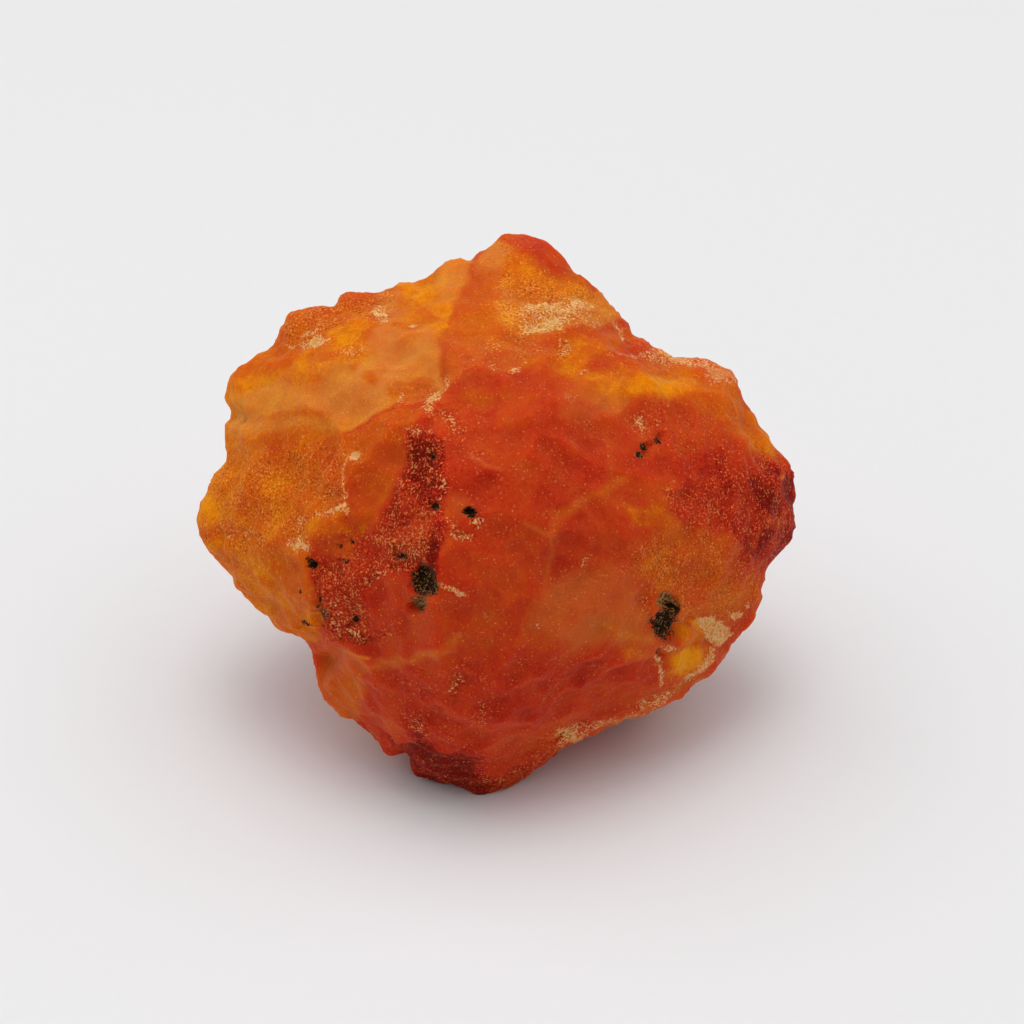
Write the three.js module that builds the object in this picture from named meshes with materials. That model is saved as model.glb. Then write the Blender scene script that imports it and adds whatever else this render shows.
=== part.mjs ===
// A rough lump of carnelian, standing on the flat where it broke from the rock.
//
// The stone is one solid with one node. All lengths are millimetres. Its corners are given in two
// frames:
//   - the broad face's frame: across it to the right, up it, and proud of it. The face leans back, so
//     its outward direction points LEAN above the horizontal;
//   - the standing frame: x to the right, y away from the broad face, z up from the rest plane.
// Seen from the stone's heart, every corner lies in a direction of its own. The convex hull of those
// directions says which three corners share a facet, so the stone closes all the way round.

import * as THREE from 'three';
import { ConvexHull } from 'three/addons/math/ConvexHull.js';

// Driving dimensions.
const LEAN = THREE.MathUtils.degToRad(35);
const FACE_HEIGHT = 20;
const HEART = new THREE.Vector3(0, 3, 18);

// Finish of the whole stone: waxy, deep orange-red.
const STONE = { color: 0xb8441a, roughness: 0.45, metalness: 0 };

// The rim of the broad face, clockwise from the knob at the top: across, up, proud.
const RIM = [
  [0.2, 21.1, -4.4], [1.9, 21.2, -5.0], [3.6, 20.6, -4.6], [4.7, 19.3, -3.8], [5.3, 18.2, -3.4],
  [7.5, 16.4, -3.8], [9.0, 14.6, -3.2], [10.5, 13.1, -3.6], [12.2, 12.0, -4.0], [13.5, 11.5, -3.0],
  [15.4, 11.6, -4.2], [16.7, 11.3, -4.8], [17.6, 10.1, -3.6], [18.4, 8.0, -3.2], [19.3, 6.5, -3.8],
  [20.6, 4.9, -3.4], [22.0, 3.6, -4.6], [22.4, 2.8, -5.0], [22.3, 0.2, -4.4], [22.1, -1.7, -5.0],
  [21.6, -2.7, -4.4], [20.6, -3.8, -3.6], [19.9, -5.9, -4.2], [18.9, -7.7, -3.4], [17.9, -9.6, -4.0],
  [16.1, -11.7, -3.4], [14.3, -13.4, -3.8], [11.6, -14.7, -3.2], [9.0, -16.0, -3.6],
  [6.0, -17.0, -3.2], [4.1, -18.2, -3.9], [2.3, -19.7, -4.6], [-6.6, -20.0, -5.2],
  [-7.1, -18.8, -4.4], [-8.6, -18.0, -4.6], [-10.4, -16.0, -4.0], [-11.6, -15.6, -4.4],
  [-12.9, -14.5, -3.8], [-13.7, -12.8, -3.4], [-13.4, -11.3, -2.6], [-15.0, -9.5, -3.0],
  [-16.9, -8.8, -3.6], [-18.2, -7.2, -3.0], [-19.5, -6.5, -3.6], [-20.6, -4.4, -3.2],
  [-21.9, -3.8, -3.8], [-22.2, -2.5, -3.2], [-22.9, -1.7, -3.6], [-22.8, 0.2, -3.0],
  [-21.9, 2.4, -3.4], [-20.9, 3.9, -2.8], [-20.9, 5.8, -3.4], [-20.2, 7.5, -2.8],
  [-20.7, 8.6, -3.6], [-20.3, 10.1, -3.2], [-18.6, 11.6, -2.8], [-17.3, 12.5, -3.4],
  [-15.9, 15.0, -3.8], [-15.0, 15.6, -4.2], [-12.9, 15.6, -3.4], [-11.6, 16.3, -3.8],
  [-9.0, 16.8, -3.2], [-6.8, 17.4, -3.6], [-4.5, 18.5, -3.2], [-2.4, 19.0, -3.0],
  [-0.8, 20.0, -3.8],
];

// The long ridge, from the notch beside the knob down to the foot: across, up, proud.
const RIDGE = [
  [-3.7, 15.8, 2.0], [-4.0, 13.3, 5.0], [-4.4, 9.1, 9.0], [-5.0, 6.9, 11.0], [-4.2, 5.8, 11.8],
  [-4.2, 2.3, 12.8], [-4.2, -2.0, 13.6], [-4.8, -5.5, 13.0], [-4.4, -9.8, 10.6],
  [-3.6, -14.0, 7.0], [-4.1, -18.0, 1.4],
];

// The shelled faces on the left of the ridge: across, up, proud.
const LEFT_FACES = [
  [-7.4, 14.2, 3.0], [-8.0, 10.3, 6.6], [-11.4, 11.5, 4.2], [-15.0, 12.5, 0.4], [-14.2, 14.4, -0.6],
  [-18.0, 11.0, -1.0], [-19.2, 9.4, -1.0], [-15.5, 8.6, 3.0], [-11.6, 7.4, 6.3], [-19.6, 6.9, -0.4],
  [-17.4, 5.3, 2.3], [-13.9, 4.5, 5.2], [-19.4, 1.6, 1.2], [-15.7, 0.9, 4.5], [-21.3, 0.9, -1.5],
  [-18.5, -2.8, 2.2], [-20.6, -2.5, -0.6], [-17.4, -5.8, 1.6], [-16.0, -8.0, 0.4],
];

// The step where the left faces break away, and the coarse band below it: across, up, proud.
const COARSE_BAND = [
  [-7.1, 6.2, 10.0], [-10.8, 3.7, 8.5], [-11.5, 0.1, 8.5], [-14.6, -2.8, 6.0], [-14.3, -6.4, 5.0],
  [-6.0, 4.4, 10.8], [-8.2, 2.3, 9.6], [-9.3, -0.6, 8.8], [-12.3, -3.1, 7.0], [-12.0, -6.4, 6.8],
  [-9.3, -4.2, 8.8], [-6.8, -1.3, 10.9], [-8.7, -7.8, 8.0], [-12.9, -9.4, 3.8], [-11.0, -10.1, 5.0],
];

// The chipped slope under the band, down to the foot: across, up, proud.
const LOWER_LEFT = [
  [-7.3, -13.8, 4.8], [-10.3, -13.9, 1.6], [-11.6, -12.5, 1.2], [-7.5, -17.2, 0.2],
  [-5.6, -19.0, -1.2],
];

// The knob and the sandy slope below it: across, up, proud.
const KNOB = [
  [-0.8, 17.7, 0.4], [1.6, 19.6, -1.6], [4.2, 17.8, -1.2], [3.0, 16.5, 1.6], [7.4, 13.4, 2.0],
  [0.0, 14.1, 5.2], [3.6, 11.8, 6.3], [-1.4, 10.9, 8.4],
];

// The wide face on the right of the ridge, row by row from the top: across, up, proud.
const RIGHT_FACE = [
  [0.0, 6.5, 11.6], [3.2, 8.0, 10.0], [7.2, 8.1, 8.0], [10.3, 10.4, 4.2], [14.0, 9.3, 2.4],
  [16.0, 9.9, 0.4], [10.9, 5.9, 7.0], [14.6, 6.0, 4.6], [17.7, 5.8, 1.6],
  [0.0, 0.2, 13.0], [4.2, 3.0, 11.6], [7.9, 3.0, 9.9], [12.3, 1.6, 7.6], [16.5, 2.0, 4.2],
  [20.2, 2.4, 0.4], [3.9, -1.6, 12.0], [8.6, -2.4, 9.8], [13.1, -2.8, 6.9], [17.3, -2.4, 3.0],
  [20.4, -1.4, -0.2], [-1.4, -5.5, 12.8], [2.9, -6.3, 11.2], [7.2, -7.0, 8.9], [11.3, -7.1, 6.2],
  [15.4, -6.5, 2.6], [17.6, -6.0, 0.2], [0.0, -10.6, 9.8], [4.4, -10.7, 7.8], [8.8, -11.2, 4.7],
  [13.8, -10.0, 1.4], [0.2, -15.2, 5.8], [3.7, -14.4, 4.2], [7.4, -14.2, 1.2],
  [-0.8, -18.8, 0.6], [2.6, -17.2, 0.8], [11.2, -13.2, 0.2],
];

// The back, from just behind the top of the rim down to the foot: x, y, z.
const BACK = [
  [3.2, 17.6, 32.4], [-1.8, 17.2, 31.0], [7.6, 15.4, 28.4], [-7.5, 15.6, 29.4], [12.4, 12.6, 24.8],
  [-13.0, 15.0, 27.6], [17.2, 10.6, 23.8], [-17.4, 12.4, 24.8], [20.4, 9.0, 18.4],
  [-20.0, 9.0, 20.2], [2.0, 19.6, 26.4], [-5.6, 19.0, 25.0], [9.4, 17.8, 23.6],
  [-12.4, 17.0, 22.4], [15.6, 14.6, 20.2], [-17.6, 13.4, 18.2], [19.0, 10.6, 13.8],
  [-20.4, 8.2, 13.4], [4.4, 20.4, 18.4], [-3.4, 20.8, 16.6], [11.0, 18.2, 15.2],
  [-10.6, 18.6, 14.6], [17.0, 12.6, 9.4], [-17.2, 12.6, 10.6], [0.8, 19.0, 10.2],
  [8.2, 17.0, 8.6], [-7.6, 17.6, 8.6], [-14.6, 11.4, 5.4], [14.4, 10.6, 5.2], [4.0, 16.2, 4.4],
  [-4.6, 15.4, 3.8],
];

// The slopes that hang over between the rim and the foot: x, y, z.
const OVERHANG = [
  [-17.2, 2.4, 8.8], [-13.0, -0.8, 4.8], [-10.0, -3.6, 2.6], [-17.8, 6.8, 7.0], [-7.2, -5.4, 1.2],
  [-12.6, 4.4, 2.8], [19.2, 4.4, 8.2], [15.4, 1.0, 3.8], [11.0, -1.6, 2.6], [6.4, -3.4, 1.7],
  [15.0, 5.2, 1.4], [18.2, 7.6, 4.6],
];

// The flat that the stone stands on, with one corner in its middle: x, y.
const FOOT = [
  [0.6, -8.0], [-1.5, -8.4], [-4.1, -7.4], [-8.6, -2.0], [-10.4, 3.4], [-8.4, 9.0], [1.0, 11.6],
  [9.6, 9.8], [11.8, 5.6], [8.4, 0.0], [4.4, -3.6], [-0.5, 2.0],
];

// The flat breaks that bound the back and the flanks: the way each one faces, and how far it lies
// from the heart. A corner that would stand proud of a break is brought down on to it.
const BREAKS = [
  { facing: [0.10, 0.72, 0.69], distance: 17.4 },
  { facing: [-0.58, 0.81, 0.08], distance: 17.2 },
  { facing: [0.52, 0.84, -0.16], distance: 16.8 },
  { facing: [-0.06, 0.86, -0.50], distance: 16.2 },
  { facing: [-0.80, 0.12, -0.58], distance: 18.2 },
  { facing: [0.80, 0.14, -0.58], distance: 20.4 },
];

// A corner of the broad face, turned into the standing frame by the face's lean.
function onFace([across, up, proud]) {
  const y = up * Math.sin(LEAN) - proud * Math.cos(LEAN);
  const z = FACE_HEIGHT + up * Math.cos(LEAN) + proud * Math.sin(LEAN);
  return new THREE.Vector3(across, y, z);
}

// A corner of the back or the overhang, brought down on to every break that it stands proud of.
function onBreaks([x, y, z]) {
  const corner = new THREE.Vector3(x, y, z);
  for (const { facing, distance } of BREAKS) {
    const normal = new THREE.Vector3(...facing).normalize();
    const proud = corner.clone().sub(HEART).dot(normal) - distance;
    corner.addScaledVector(normal, -Math.max(proud, 0));
  }
  return corner;
}

// Every corner of the stone in the standing frame.
function stoneCorners() {
  const front = [RIM, RIDGE, LEFT_FACES, COARSE_BAND, LOWER_LEFT, KNOB, RIGHT_FACE].flat();
  return [
    ...front.map(onFace),
    ...[...BACK, ...OVERHANG].map(onBreaks),
    ...FOOT.map(([x, y]) => new THREE.Vector3(x, y, 0)),
  ];
}

// The closed, faceted surface over the corners. The hull of the directions from the heart gives the
// facets, each with its corners anticlockwise as seen from outside.
function stoneGeometry(corners) {
  const directions = corners.map((corner) => corner.clone().sub(HEART).normalize());
  const numberOf = new Map(directions.map((direction, number) => [direction, number]));
  const hull = new ConvexHull().setFromPoints(directions);
  const facets = hull.faces.flatMap((face) => {
    const edges = [face.edge, face.edge.next, face.edge.prev];
    return edges.map((edge) => numberOf.get(edge.head().point));
  });
  const geometry = new THREE.BufferGeometry().setFromPoints(corners);
  geometry.setIndex(facets);
  geometry.computeVertexNormals();
  return geometry;
}

// The origin is under the middle of the stone, on the rest plane.
function centred(geometry) {
  geometry.computeBoundingBox();
  const box = geometry.boundingBox;
  const middle = box.getCenter(new THREE.Vector3());
  return geometry.translate(-middle.x, -middle.y, -box.min.z);
}

const material = new THREE.MeshStandardMaterial({ ...STONE, flatShading: true });
const stone = new THREE.Mesh(centred(stoneGeometry(stoneCorners())), material);
stone.name = 'carnelian';

const part = new THREE.Group();
part.add(stone);

export default part;
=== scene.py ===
"""A rough lump of carnelian, standing by itself on a pale sheet in soft studio light.

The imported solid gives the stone's size and its coarse shape. This script lays a fine surface over
it: shell-like breaks with their ripples, pits, chips and grain, all cut inwards, so the stone keeps
its size. Marks on the surface say where it is amber, red or maroon, frosted, grainy or crusted.
Lengths are in millimetres until a mesh is written, and metres from there on.
"""

import logging
import math
from dataclasses import dataclass
from enum import Enum

import bpy
import numpy as np
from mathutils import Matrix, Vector


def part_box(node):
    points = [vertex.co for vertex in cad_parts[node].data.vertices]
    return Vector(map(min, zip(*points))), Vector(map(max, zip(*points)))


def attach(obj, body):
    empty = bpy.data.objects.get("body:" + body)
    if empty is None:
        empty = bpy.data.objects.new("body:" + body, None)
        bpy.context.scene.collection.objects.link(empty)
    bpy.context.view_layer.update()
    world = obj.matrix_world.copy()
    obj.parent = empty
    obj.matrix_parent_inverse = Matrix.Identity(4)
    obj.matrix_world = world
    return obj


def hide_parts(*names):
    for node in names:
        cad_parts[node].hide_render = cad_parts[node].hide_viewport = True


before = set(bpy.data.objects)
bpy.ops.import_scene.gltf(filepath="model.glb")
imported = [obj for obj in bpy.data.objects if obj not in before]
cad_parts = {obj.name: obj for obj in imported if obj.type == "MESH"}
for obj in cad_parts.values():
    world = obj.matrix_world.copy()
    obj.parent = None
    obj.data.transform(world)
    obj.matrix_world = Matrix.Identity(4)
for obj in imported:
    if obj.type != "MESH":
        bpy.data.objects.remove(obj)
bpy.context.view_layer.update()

MM = 0.001
Array = np.ndarray
Point = tuple[float, float]
Colour = tuple[float, float, float]
log = logging.getLogger("carnelian")


class Mark(Enum):
    """What the surface is like at a point, as a number on every vertex.

    The tone goes from amber through red to maroon. Bloom is frosting, grit is grain, rind is crust
    and soot is dirt. A seam is where one break meets the next. All of these run from 0 to 1. The
    sink is how many millimetres the place is let in.
    """

    TONE = "tone"
    BLOOM = "bloom"
    GRIT = "grit"
    RIND = "rind"
    SOOT = "soot"
    SEAM = "seam"
    SINK = "sink"


def smooth_step(low: float, high: float, value: Array) -> Array:
    """A soft switch: 0 below low, 1 above high, and the cubic 3t² - 2t³ between.

    Args:
        low: Where the switch starts to open. It may be above high, which turns the switch round.
        high: Where it is fully open.
        value: The numbers to switch on.

    Returns:
        Numbers from 0 to 1, one for each value.
    """
    t = np.clip((value - low) / (high - low), 0.0, 1.0)
    return t * t * (3.0 - 2.0 * t)


def unit(vectors: Array) -> Array:
    """Vectors of length one with the directions of the given ones."""
    return vectors / np.linalg.norm(vectors, axis=-1, keepdims=True)


class Noise:
    """Gradient noise in space, repeatable from its seed."""

    TABLE = 256
    FULL_HEIGHT = 1.7  # brings the highest to about 1
    LAYER_APART = 31.7  # so that the layers don't line up at the origin

    def __init__(self, seed: int) -> None:
        """Draws a random slope for each entry of the table, and the order they are used in.

        Args:
            seed: The number that the slopes and their order come from.
        """
        draw = np.random.default_rng(seed)
        self.slopes = unit(draw.normal(size=(self.TABLE, 3)))
        self.order = np.tile(draw.permutation(self.TABLE), 3)

    def row(self, corner: Array) -> Array:
        """Which row of the table belongs to each lattice corner, given as whole numbers."""
        key = corner % self.TABLE
        return self.order[self.order[self.order[key[:, 0]] + key[:, 1]] + key[:, 2]]

    def at(self, points: Array, wave: float) -> Array:
        """The noise at each point, from about -1 to 1.

        Each corner of a cubic lattice has a slope. The value is the height that each of the eight
        corners round a point would give there, blended by the curve 6t⁵ - 15t⁴ + 10t³.

        Args:
            points: Places, one row each.
            wave: The side of a lattice cube, in the points' unit.

        Returns:
            One number for each point.
        """
        cell = np.floor(points / wave).astype(int)
        inside = points / wave - cell
        blend = inside ** 3 * (inside * (inside * 6.0 - 15.0) + 10.0)
        total = np.zeros(len(points))
        for corner in np.ndindex(2, 2, 2):
            height = ((inside - corner) * self.slopes[self.row(cell + corner)]).sum(axis=1)
            weight = np.where(corner, blend, 1.0 - blend).prod(axis=1)
            total += height * weight
        return total * self.FULL_HEIGHT

    def fractal(self, points: Array, wave: float, layers: int, gain: float = 0.5) -> Array:
        """Layers of the noise, each of half the wave and gain times the height of the last.

        Args:
            points: Places, one row each.
            wave: The longest wave.
            layers: How many layers.
            gain: How much lower each finer layer is.

        Returns:
            One number for each point, scaled to about -1 to 1.
        """
        heights = gain ** np.arange(layers)
        parts = [h * self.at(points + self.LAYER_APART * n, wave / 2 ** n)
                 for n, h in enumerate(heights)]
        return np.sum(parts, axis=0) / np.sqrt((heights ** 2).sum())

    def cells(self, points: Array, size: float) -> tuple[Array, Array, Array]:
        """Space split into uneven cells, each round its own centre, as overlapping hollows are.

        Each cube of a lattice holds one centre, at a random place, with a random head start. A
        point belongs to the centre with the least (distance / size)² less head start.

        Args:
            points: Places, one row each.
            size: The side of a lattice cube.

        Returns:
            For each point, that least value, how much more the next centre has, and the cell's own
            random number from 0 to 1.
        """
        spots = points / size
        cell = np.floor(spots).astype(int)
        first, second = np.full(len(points), np.inf), np.full(len(points), np.inf)
        lot = np.zeros(len(points))
        for step in np.ndindex(3, 3, 3):
            home = cell + step - 1
            row = self.row(home)
            centre = home + 0.5 + 0.5 * self.slopes[row]
            start = 0.5 * row / self.TABLE
            value = ((spots - centre) ** 2).sum(axis=1) - start
            closer = value < first
            second = np.where(closer, first, np.minimum(second, value))
            lot = np.where(closer, self.slopes[row, 0] * 0.5 + 0.5, lot)
            first = np.minimum(first, value)
        return first, second - first, lot


@dataclass(frozen=True)
class FaceFrame:
    """The broad face's own frame: across it, up it and proud of it.

    The face leans back. Its origin is the middle of the face, fixed from the solid's box: so far in
    from its left side and from its front, and so high above what the stone stands on.
    """

    origin: Array
    lean: float = math.radians(35.0)
    view_distance: float = 213.0
    rim_depth: float = -4.0

    LEFT_REACH = 22.9
    FRONT_REACH = 14.3
    HEIGHT = 20.0

    @classmethod
    def in_box(cls, low: Vector) -> "FaceFrame":
        """The frame of the face in a solid whose box has this lowest corner, in metres."""
        offset = np.array([cls.LEFT_REACH, cls.FRONT_REACH, cls.HEIGHT])
        return cls(np.array(low) / MM + offset)

    @property
    def axes(self) -> Array:
        """Rows: the directions across, up and proud, each of length one."""
        s, c = math.sin(self.lean), math.cos(self.lean)
        return np.array([[1.0, 0.0, 0.0], [0.0, s, c], [0.0, -c, s]])

    def place(self, across: float, up: float, proud: float) -> Array:
        """The standing position of a point given in the face's frame."""
        return self.origin + np.array([across, up, proud]) @ self.axes

    def read(self, points: Array) -> Array:
        """Columns across, up and proud of each standing point."""
        return (points - self.origin) @ self.axes.T

    def seen(self, points: Array) -> tuple[Array, Array, Array]:
        """Across and up as someone sees them who stands straight before the face, and proud.

        What is nearer looks larger: both are spread by distance / (distance - depth past the rim).

        Args:
            points: Standing positions, one row each.

        Returns:
            Three columns: across, up and proud.
        """
        across, up, proud = self.read(points).T
        spread = self.view_distance / (self.view_distance - (proud - self.rim_depth))
        return across * spread, up * spread, proud


@dataclass(frozen=True)
class Cage:
    """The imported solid's facets, as seen from the stone's heart: facet, corner, x y z."""

    facets: Array

    CHUNK = 8192

    @classmethod
    def of_node(cls, node: bpy.types.Object, heart: Array) -> "Cage":
        """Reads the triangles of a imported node.

        Args:
            node: The node's object, whose mesh is in metres.
            heart: The point inside the stone that its surface is measured from.

        Returns:
            The cage of that node.
        """
        mesh = node.data
        mesh.calc_loop_triangles()
        places = np.empty(len(mesh.vertices) * 3, np.float32)
        mesh.vertices.foreach_get("co", places)
        corners = np.empty(len(mesh.loop_triangles) * 3, np.int32)
        mesh.loop_triangles.foreach_get("vertices", corners)
        points = places.reshape(-1, 3).astype(float) / MM - heart
        return cls(points[corners.reshape(-1, 3)])

    def reach(self, directions: Array) -> Array:
        """How far the solid reaches from the heart in each direction.

        A direction meets a facet if it is on the inner side of the three planes through the heart
        and one edge of it. It does so at the facet's triple product over direction · normal.

        Args:
            directions: Unit vectors, one row each.

        Returns:
            One distance for each direction.
        """
        a, b, c = self.facets[:, 0], self.facets[:, 1], self.facets[:, 2]
        sides = [np.cross(a, b), np.cross(b, c), np.cross(c, a)]
        normal = sum(sides)
        volume = (a * sides[1]).sum(axis=1)
        found = []
        for start in range(0, len(directions), self.CHUNK):
            some = directions[start:start + self.CHUNK]
            inside = np.all([some @ side.T > -1e-6 for side in sides], axis=0)
            along = some @ normal.T
            distance = np.where(inside & (along > 1e-9), volume / np.maximum(along, 1e-9), 0.0)
            found.append(distance.max(axis=1))
        return np.concatenate(found)


@dataclass(frozen=True)
class Shell:
    """The unit sphere as six square grids, joined along their edges.

    On each grid the two parameters are angles from -45° to 45°, and the direction is that of
    axis + tan(first) × side + tan(second) × other side, so the squares stay nearly even. Adding
    pull × the last axis to each unit direction then draws the squares closer together that way.
    """

    directions: Array
    quads: Array
    edges: Array

    @classmethod
    def on_axes(cls, axes: Array, squares: int, pull: float) -> "Shell":
        """Six grids that look along these three axes and back along them.

        Args:
            axes: Three rows, a right-handed set of unit vectors.
            squares: Squares along each side of a grid.
            pull: How much finer the squares are towards the last axis, from 0 to below 1.

        Returns:
            The joined shell, with its quads anticlockwise as seen from outside.
        """
        steps = np.tan(np.linspace(-math.pi / 4, math.pi / 4, squares + 1))
        first, second = np.meshgrid(steps, steps, indexing="ij")
        rows = []
        for k in range(3):
            axis, side, other = axes[k], axes[(k + 1) % 3], axes[(k + 2) % 3]
            rows.append(axis + first[..., None] * side + second[..., None] * other)
            rows.append(-axis + first[..., None] * other + second[..., None] * side)
        loose = unit(np.concatenate([row.reshape(-1, 3) for row in rows]))
        number = np.arange(len(loose)).reshape(6, squares + 1, squares + 1)
        quads = np.stack([number[:, :-1, :-1], number[:, 1:, :-1], number[:, 1:, 1:],
                          number[:, :-1, 1:]], axis=-1).reshape(-1, 4)
        keys = np.round(loose * 1e6).astype(np.int64)
        _, kept, joined = np.unique(keys, axis=0, return_index=True, return_inverse=True)
        quads = joined.reshape(-1)[quads]
        pairs = np.stack([quads, np.roll(quads, -1, axis=1)], axis=-1).reshape(-1, 2)
        edges = np.unique(np.sort(pairs, axis=1), axis=0)
        return cls(unit(loose[kept] + pull * axes[2]), quads, edges)

    def blurred(self, values: Array, passes: int) -> Array:
        """Values evened out over their neighbours: each pass takes half of the neighbours' mean.

        Args:
            values: One number for each direction.
            passes: How many times.

        Returns:
            The evened numbers.
        """
        i, j = self.edges.T
        count = np.bincount(i, minlength=len(values)) + np.bincount(j, minlength=len(values))
        for _ in range(passes):
            total = np.bincount(i, values[j], len(values)) + np.bincount(j, values[i], len(values))
            values = 0.5 * values + 0.5 * total / count
        return values

    def normals(self, reach: Array) -> Array:
        """The outward normal at each vertex: the sum of its quads' diagonal cross products.

        Args:
            reach: How far the surface is from the middle in each direction.

        Returns:
            One unit vector for each vertex.
        """
        points = self.directions * reach[:, None]
        p, q, r, s = (points[self.quads[:, k]] for k in range(4))
        facing = np.cross(r - p, s - q)
        total = np.zeros_like(points)
        for k in range(4):
            for axis in range(3):
                total[:, axis] += np.bincount(self.quads[:, k], facing[:, axis], len(points))
        return unit(total)


def off_stretch(here: Array, start: Array, end: Array) -> Array:
    """How far each point is from the straight stretch between two others.

    Args:
        here: Points, one row each.
        start: One end of the stretch.
        end: Its other end.

    Returns:
        One distance for each point.
    """
    run = end - start
    share = np.clip(((here - start) @ run) / (run @ run), 0.0, 1.0)
    return np.linalg.norm(here - start - share[:, None] * run, axis=1)


@dataclass(frozen=True)
class Spot:
    """A soft oval on the broad face, and what it lays down there.

    Wide and high are half its size, the turn is in degrees, and soft is in radii. Ragged is how
    much of the noise its edge follows.
    """

    across: float
    up: float
    wide: float
    high: float
    laid: dict[Mark, float]
    turn: float = 0.0
    soft: float = 0.35
    ragged: float = 1.0

    def mask(self, across: Array, up: Array) -> Array:
        """1 inside the oval and 0 outside: a switch on the distance in radii from its middle.

        Args:
            across: Where each point is across the face.
            up: Where it is up the face.

        Returns:
            One number for each point.
        """
        s, c = math.sin(math.radians(self.turn)), math.cos(math.radians(self.turn))
        x, y = across - self.across, up - self.up
        radii = np.hypot((c * x + s * y) / self.wide, (c * y - s * x) / self.high)
        return smooth_step(1.0 + self.soft, 1.0 - self.soft, radii)


@dataclass(frozen=True)
class Streak:
    """A soft line along the broad face, and what it lays down there. Soft is in millimetres."""

    path: tuple[Point, ...]
    width: float
    laid: dict[Mark, float]
    soft: float = 0.3
    ragged: float = 1.0

    def mask(self, across: Array, up: Array) -> Array:
        """1 on the line and 0 away from it: a switch on the distance to the nearest stretch.

        Args:
            across: Where each point is across the face.
            up: Where it is up the face.

        Returns:
            One number for each point.
        """
        here = np.stack([across, up], axis=-1)
        nearest = np.full(len(here), np.inf)
        for start, end in zip(np.array(self.path[:-1]), np.array(self.path[1:])):
            nearest = np.minimum(nearest, off_stretch(here, start, end))
        outer, inner = self.width / 2 + self.soft, max(self.width / 2 - self.soft, 0.0)
        return smooth_step(outer, inner, nearest)


@dataclass(frozen=True)
class Area:
    """A part of the face inside an outline, and what it lays down. Soft is in millimetres."""

    outline: tuple[Point, ...]
    laid: dict[Mark, float]
    soft: float = 0.6
    ragged: float = 1.0

    def mask(self, across: Array, up: Array) -> Array:
        """1 inside and 0 outside: a switch on the distance to the outline, counted in as positive.

        A point is inside if a level line from it to the right crosses the outline an odd number
        of times.

        Args:
            across: Where each point is across the face.
            up: Where it is up the face.

        Returns:
            One number for each point.
        """
        here = np.stack([across, up], axis=-1)
        nearest, odd = np.full(len(here), np.inf), np.zeros(len(here), bool)
        corners = np.array(self.outline)
        for start, end in zip(corners, np.roll(corners, -1, axis=0)):
            run = end - start
            nearest = np.minimum(nearest, off_stretch(here, start, end))
            spans = (start[1] > up) != (end[1] > up)
            crossing = start[0] + (up - start[1]) * run[0] / (run[1] if run[1] else 1.0)
            odd ^= spans & (across < crossing)
        return smooth_step(-self.soft, self.soft, np.where(odd, nearest, -nearest))


@dataclass(frozen=True)
class Bowl:
    """A shell-like break: the hollow that a sphere leaves where it cuts into the surface.

    Its place is across and up on the broad face or, if it is on the back, right behind that place.
    Ripples run in rings round the bulb, which is where the blow fell, measured from the middle of
    the bowl. The petal shifts the tone inside it.
    """

    across: float
    up: float
    wide: float
    deep: float
    tilt: Point = (0.0, 0.0)
    ripple: float = 0.0
    wave: float = 1.6
    bulb: Point = (0.0, 0.0)
    back: bool = False
    petal: float = 0.0


@dataclass(frozen=True)
class Scatter:
    """Breaks strewn over the stone by chance, with sizes from the least to the most given.

    The hollow is the depth as a share of the width. A sharpness above 0 keeps them to edges and
    corners that stand out from the evened surface by more than that.
    """

    count: int
    wide: Point
    hollow: Point
    lean: float
    petal: float = 0.0
    sharpness: float = 0.0


@dataclass(frozen=True)
class Hollow:
    """One size of the hollows that cover the stone.

    The bend is how far noise pushes their edges about. The shift is how much the tone may change
    from one hollow to the next, and the line is how strong the crest between two of them is.
    """

    size: float
    deep: float
    bend: float
    shift: float = 0.0
    line: float = 0.0


@dataclass(frozen=True)
class Pit:
    """A dark hole in the face, oval and rough inside, with some share of olive dust in its dirt."""

    across: float
    up: float
    wide: float
    high: float
    deep: float
    turn: float = 0.0
    dust: float = 0.0

    def oval(self, size: float, soft: float) -> Spot:
        """The pit's own oval, made larger by size, with an edge as soft as given."""
        return Spot(self.across, self.up, self.wide * size, self.high * size, {}, self.turn, soft)


def tone(value: float, bloom: float | None = None, grit: float | None = None) -> dict[Mark, float]:
    """What a patch lays down: its tone, and its bloom and grit where they are given."""
    laid = {Mark.TONE: value, Mark.BLOOM: bloom, Mark.GRIT: grit}
    return {mark: number for mark, number in laid.items() if number is not None}


def crust(rind: float, grit: float | None = None) -> dict[Mark, float]:
    """What a patch of crust lays down: its rind, and its grit where that is given."""
    return {Mark.RIND: rind} if grit is None else {Mark.RIND: rind, Mark.GRIT: grit}


def crumb(across: float, up: float, wide: float, high: float, rind: float,
          grit: float | None = None, turn: float = 0.0, soft: float = 0.6,
          ragged: float = 1.0) -> Spot:
    """One oval patch of crust."""
    return Spot(across, up, wide, high, crust(rind, grit), turn, soft, ragged)


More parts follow.
